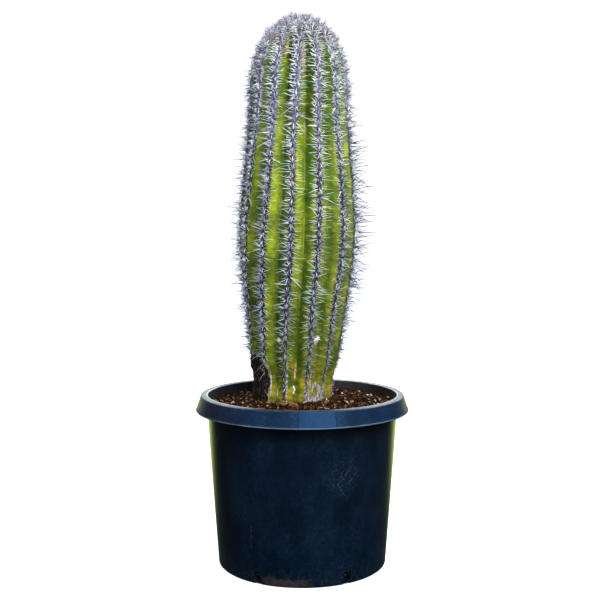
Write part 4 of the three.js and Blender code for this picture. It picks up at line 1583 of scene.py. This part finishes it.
def shards(rng, places, sizes, tilt):
    """Angular chips lying on the mix, with a tone for each."""
    points, faces, tones = [], [], []
    for place in places:
        chip_points, chip_faces = shard(rng, rng.uniform(*sizes))
        faces += shifted(chip_faces, len(points))
        points += (chip_points @ resting_turn(rng, tilt).T + place).tolist()
        tones += [rng.random()] * len(chip_points)
    return points, faces, tones


class SAGUARO_OT_add_mix(bpy.types.Operator):
    """Add the body of the potting mix"""

    bl_idname = "saguaro.add_mix"
    bl_label = "Add Potting Mix"
    bl_options = {"REGISTER", "UNDO"}

    def execute(self, context):
        settings = context.scene.saguaro_mix
        points, faces = mix_body(settings)
        add_piece("mix_body", points, faces, mix_finish(settings), "soil")
        return {"FINISHED"}


class SAGUARO_OT_add_litter(bpy.types.Operator):
    """Add the crumbs, perlite, bark chips and twigs that lie on the mix"""

    bl_idname = "saguaro.add_litter"
    bl_label = "Add Litter"
    bl_options = {"REGISTER", "UNDO"}

    def execute(self, context):
        settings = context.scene.saguaro_mix
        rng = np.random.default_rng(settings.seed)
        self.add_crumbs(settings, rng)
        self.add_perlite(settings, rng)
        self.add_bark(settings, rng)
        self.add_twigs(settings, rng)
        return {"FINISHED"}

    def add_crumbs(self, settings, rng):
        shape_points, shape_faces = ball(1)
        count = settings.crumbs
        shapes = shape_points[None] * rng.uniform(0.7, 1.3, size=(count, len(shape_points), 1))
        small, large = CRUMB_SIZES
        size = small * (large / small) ** rng.random((count, 1))
        sizes = size * rng.uniform(0.7, 1.3, size=(count, 3))
        places = litter_places(rng, settings, count)
        points, faces = scatter((shapes, shape_faces), sizes, random_turns(rng, count), places)
        tone = np.repeat(rng.random(count), len(shape_points))
        brown = litter_finish("crumbs", (
            (0.0, rgb(6, 4, 2)), (0.5, rgb(34, 20, 10)), (0.8, rgb(94, 60, 34)), (0.94, rgb(154, 108, 68)),
            (1.0, rgb(214, 182, 150)),
        ), 0.0012, 0.0008)
        add_piece("mix_crumbs", points, faces, brown, "soil", {"tone": tone}, smooth=False)

    def add_perlite(self, settings, rng):
        places = litter_places(rng, settings, settings.perlite, FOUND_PERLITE, PERLITE_LIFT)
        points, faces, tones = shards(rng, places, PERLITE_SIZES, PERLITE_TILT)
        white = litter_finish("perlite", (
            (0.0, rgb(196, 184, 170)), (0.4, rgb(226, 220, 212)), (1.0, rgb(246, 244, 240)),
        ), 0.0009, 0.0006)
        add_piece("perlite", points, faces, white, "soil", {"tone": tones}, smooth=False)

    def add_bark(self, settings, rng):
        places = litter_places(rng, settings, settings.bark, FOUND_CHIPS, CHIP_LIFT)
        found = len(FOUND_CHIPS)
        found_places = places[:found] + [0, 0, FOUND_CHIP_LIFT]
        points, faces, tones = shards(rng, places[found:], CHIP_SIZES, CHIP_TILT)
        found_points, found_faces, _ = shards(rng, found_places, FOUND_CHIP_SIZES, FOUND_CHIP_TILT)
        faces += shifted(found_faces, len(points))
        points += found_points
        tones += [FOUND_CHIP_TONE] * len(found_points)
        bark = litter_finish("bark", (
            (0.0, rgb(34, 22, 16)), (0.45, rgb(74, 46, 32)), (0.8, tuple(settings.bark_color)),
            (1.0, rgb(186, 126, 82)),
        ), 0.0016, 0.0009, stretch=(1, 1, 2.5))
        add_piece("bark_chips", points, faces, bark, "soil", {"tone": tones}, smooth=False)

    def add_twigs(self, settings, rng):
        count = max(settings.twigs, len(FOUND_TWIGS))
        starts = litter_places(rng, settings, count, [start for start, _ in FOUND_TWIGS], TWIG_LIFT)
        turns = rng.uniform(0, FULL_TURN, count)
        lengths = rng.uniform(*TWIG_LENGTHS, count)
        ends = starts[:, :2] + np.stack([np.cos(turns), np.sin(turns)], axis=-1) * lengths[:, None]
        ends[: len(FOUND_TWIGS)] = [end for _, end in FOUND_TWIGS]
        reach = np.minimum(np.hypot(*ends.T), inside_wall(MIX_EDGE_HEIGHT) - WALL_GAP)
        angle = np.arctan2(ends[:, 0], -ends[:, 1])
        ends = around(angle, reach, mix_height(reach, angle, settings.heap_height) + TWIG_LIFT)
        runs = ends - starts
        lengths = np.linalg.norm(runs, axis=1)
        bows = rng.normal(0, 0.06, size=runs.shape) * lengths[:, None]
        radii = rng.uniform(*TWIG_RADII, count)
        points, faces, _, size = needles(starts, unit(runs), lengths, radii, bows, 6, TWIG_STATIONS)
        tone = np.repeat(rng.random(count), size)
        pale = litter_finish("twigs", (
            (0.0, rgb(150, 116, 92)), (0.5, rgb(206, 178, 150)), (1.0, rgb(214, 170, 160)),
        ), 0.0008, 0.0004)
        add_piece("twigs", points, faces, pale, "soil", {"tone": tone})


# The stage

CAMERA_PLACE = (-0.0031, -1.4, 0.477)
CAMERA_TILT = math.radians(4.3)
CAMERA_LENS = 60.0
SENSOR = 36.0
BACKDROP_REACH = 9.0
FLOOR_GLOW, BACKDROP_GLOW = 0.86, 1.05
UNDER_POT = (0.004, 0.004, 0.004)


def area_light(name, place, size, power, color, mirrored=False, aim=(0, 0, 0.42), spread=180):
    """A soft light that isn't seen itself, and shows in no reflection unless it is mirrored."""
    light = bpy.data.lights.new(name, "AREA")
    light.shape = "RECTANGLE"
    light.size, light.size_y = size
    light.energy = power
    light.color = color
    light.spread = math.radians(spread)
    lamp = add_object(name, light)
    lamp.location = place
    lamp.rotation_euler = (Vector(aim) - Vector(place)).to_track_quat("-Z", "Y").to_euler()
    lamp.visible_camera = False
    lamp.visible_glossy = mirrored


def sky(settings):
    """Cool light from above, dim sides, and a bright strip of lawn and sky behind that edges the pot."""
    world = bpy.data.worlds.new("garden light")
    bpy.context.scene.world = world
    shader = Shader(world)
    direction = shader.node("ShaderNodeTexCoord", output="Generated")
    split = shader.node("ShaderNodeSeparateXYZ", inputs={0: direction})
    behind, upward = split.output("Y"), split.output("Z")
    glow = shader.ease(behind, 0.76, 0.88)
    lawn = glow * shader.ease(upward, -0.31, -0.18)
    ground = shader.mix(lawn, (0.05, 0.06, 0.06), (4.6, 5.6, 1.6))
    horizon = shader.mix(glow, (0.18, 0.22, 0.28), (1.8, 1.9, 1.7))
    above = (0.62, 0.72, 0.95)
    color = shader.mix(shader.ease(upward, -0.12, 0.02), ground, horizon)
    color = shader.mix(shader.ease(upward, 0.25, 0.70), color, above)
    light = shader.node("ShaderNodeBackground", inputs={"Color": color, "Strength": settings.sky_strength})
    shader.node("ShaderNodeOutputWorld", inputs={"Surface": light})
    world.cycles_visibility.camera = False


def glowing_surface(shader, color, glow):
    """A dull surface that gives off its own colour."""
    return shader.surface({
        "Base Color": color, "Roughness": 1.0, "Specular IOR Level": 0.0,
        "Emission Color": color, "Emission Strength": glow,
    })


def floor_finish(settings):
    """A pale floor that is dark under the pot, where no light gets."""
    shader = new_shader("floor")
    x, y, _ = shader.axes()
    lit = shader.ease(shader.math("SQRT", x * x + y * y), FOOT_RADIUS - 0.006, FOOT_RADIUS)
    return glowing_surface(shader, shader.mix(lit, UNDER_POT, tuple(settings.floor_color)), FLOOR_GLOW)


def add_stage_mesh(name, points, faces, material):
    """A floor or backdrop that only the camera sees, so that it lends the plant no light."""
    mesh = new_mesh(name, points, faces)
    mesh.materials.append(material)
    thing = add_object(name, mesh)
    thing.visible_diffuse = False
    thing.visible_glossy = False
    thing.visible_shadow = False


def add_lights(settings):
    """Sun from the right, soft light from the left and behind, and the broad light that the pot mirrors."""
    area_light("key light", (1.45, -1.95, 1.8), (0.9, 0.9), settings.key_power, (1.0, 0.95, 0.84))
    area_light("fill light", (-2.0, -1.3, 0.9), (1.6, 1.6), settings.fill_power, (0.90, 0.94, 1.0))
    area_light("head light", (0.45, -1.0, 1.25), (0.25, 0.25), settings.head_power, (1.0, 0.97, 0.90),
               aim=(0, 0, 0.68), spread=50)
    area_light("rim light", (-1.3, 0.45, 0.8), (0.8, 0.8), settings.rim_power, (1.0, 1.0, 0.96))
    area_light("back light", (1.1, 2.0, 1.0), (1.8, 1.8), settings.back_power, (0.96, 0.98, 1.0))
    area_light("front light", (0.8, -2.25, 1.35), (2.0, 0.9), settings.front_power, (0.45, 0.70, 1.0),
               mirrored=True)
    sky(settings)


def add_camera():
    view = bpy.data.cameras.new("camera")
    view.lens = CAMERA_LENS
    view.sensor_width = SENSOR
    camera = add_object("camera", view)
    camera.location = CAMERA_PLACE
    camera.rotation_euler = (math.pi / 2 - CAMERA_TILT, 0, 0)
    bpy.context.scene.camera = camera


class SAGUARO_OT_add_stage(bpy.types.Operator):
    """Add the floor, the backdrop, the lights and the camera"""

    bl_idname = "saguaro.add_stage"
    bl_label = "Add Stage"
    bl_options = {"REGISTER", "UNDO"}

    def execute(self, context):
        settings = context.scene.saguaro_stage
        reach = BACKDROP_REACH
        corners = [(-reach, -reach, 0), (reach, -reach, 0), (reach, reach, 0), (-reach, reach, 0)]
        add_stage_mesh("floor", corners, [[0, 1, 2, 3]], floor_finish(settings))
        points, faces = ball(4)
        glow = glowing_surface(new_shader("backdrop"), tuple(settings.floor_color), BACKDROP_GLOW)
        add_stage_mesh("backdrop", points * reach, faces[:, ::-1].tolist(), glow)
        add_lights(settings)
        add_camera()
        context.scene.view_settings.view_transform = "Standard"
        return {"FINISHED"}


class SAGUARO_PT_panel(bpy.types.Panel):
    """Steps that build the plant, with their settings"""

    bl_idname = "SAGUARO_PT_panel"
    bl_label = "Potted Saguaro"
    bl_space_type = "VIEW_3D"
    bl_region_type = "UI"
    bl_category = "Saguaro"

    def draw(self, context):
        for title, settings, steps in PANEL_STEPS:
            box = self.layout.box()
            box.label(text=title)
            group = getattr(context.scene, settings)
            for name in group.__annotations__:
                box.prop(group, name)
            for step in steps:
                box.operator(step.bl_idname)


PANEL_STEPS = (
    ("Stage", "saguaro_stage", (SAGUARO_OT_add_stage,)),
    ("Pot", "saguaro_pot", (SAGUARO_OT_add_pot,)),
    ("Potting Mix", "saguaro_mix", (SAGUARO_OT_add_mix, SAGUARO_OT_add_litter)),
    ("Stem", "saguaro_stem", (SAGUARO_OT_add_stem,)),
    ("Spines", "saguaro_spines", (SAGUARO_OT_add_areoles, SAGUARO_OT_add_spines)),
)
SETTINGS = {
    "saguaro_stage": StageSettings,
    "saguaro_pot": PotSettings,
    "saguaro_mix": MixSettings,
    "saguaro_stem": StemSettings,
    "saguaro_spines": SpineSettings,
}
STEP_CLASSES = [step for _, _, steps in PANEL_STEPS for step in steps]


def register():
    for kind in [*SETTINGS.values(), *STEP_CLASSES, SAGUARO_PT_panel]:
        bpy.utils.register_class(kind)
    for name, kind in SETTINGS.items():
        setattr(bpy.types.Scene, name, PointerProperty(type=kind))


def unregister():
    for name in SETTINGS:
        delattr(bpy.types.Scene, name)
    for kind in reversed([*SETTINGS.values(), *STEP_CLASSES, SAGUARO_PT_panel]):
        bpy.utils.unregister_class(kind)


def main():
    register()
    bpy.ops.saguaro.add_stage()
    bpy.ops.saguaro.add_pot()
    bpy.ops.saguaro.add_mix()
    bpy.ops.saguaro.add_litter()
    bpy.ops.saguaro.add_stem()
    bpy.ops.saguaro.add_areoles()
    bpy.ops.saguaro.add_spines()


if __name__ == "__main__":
    main()
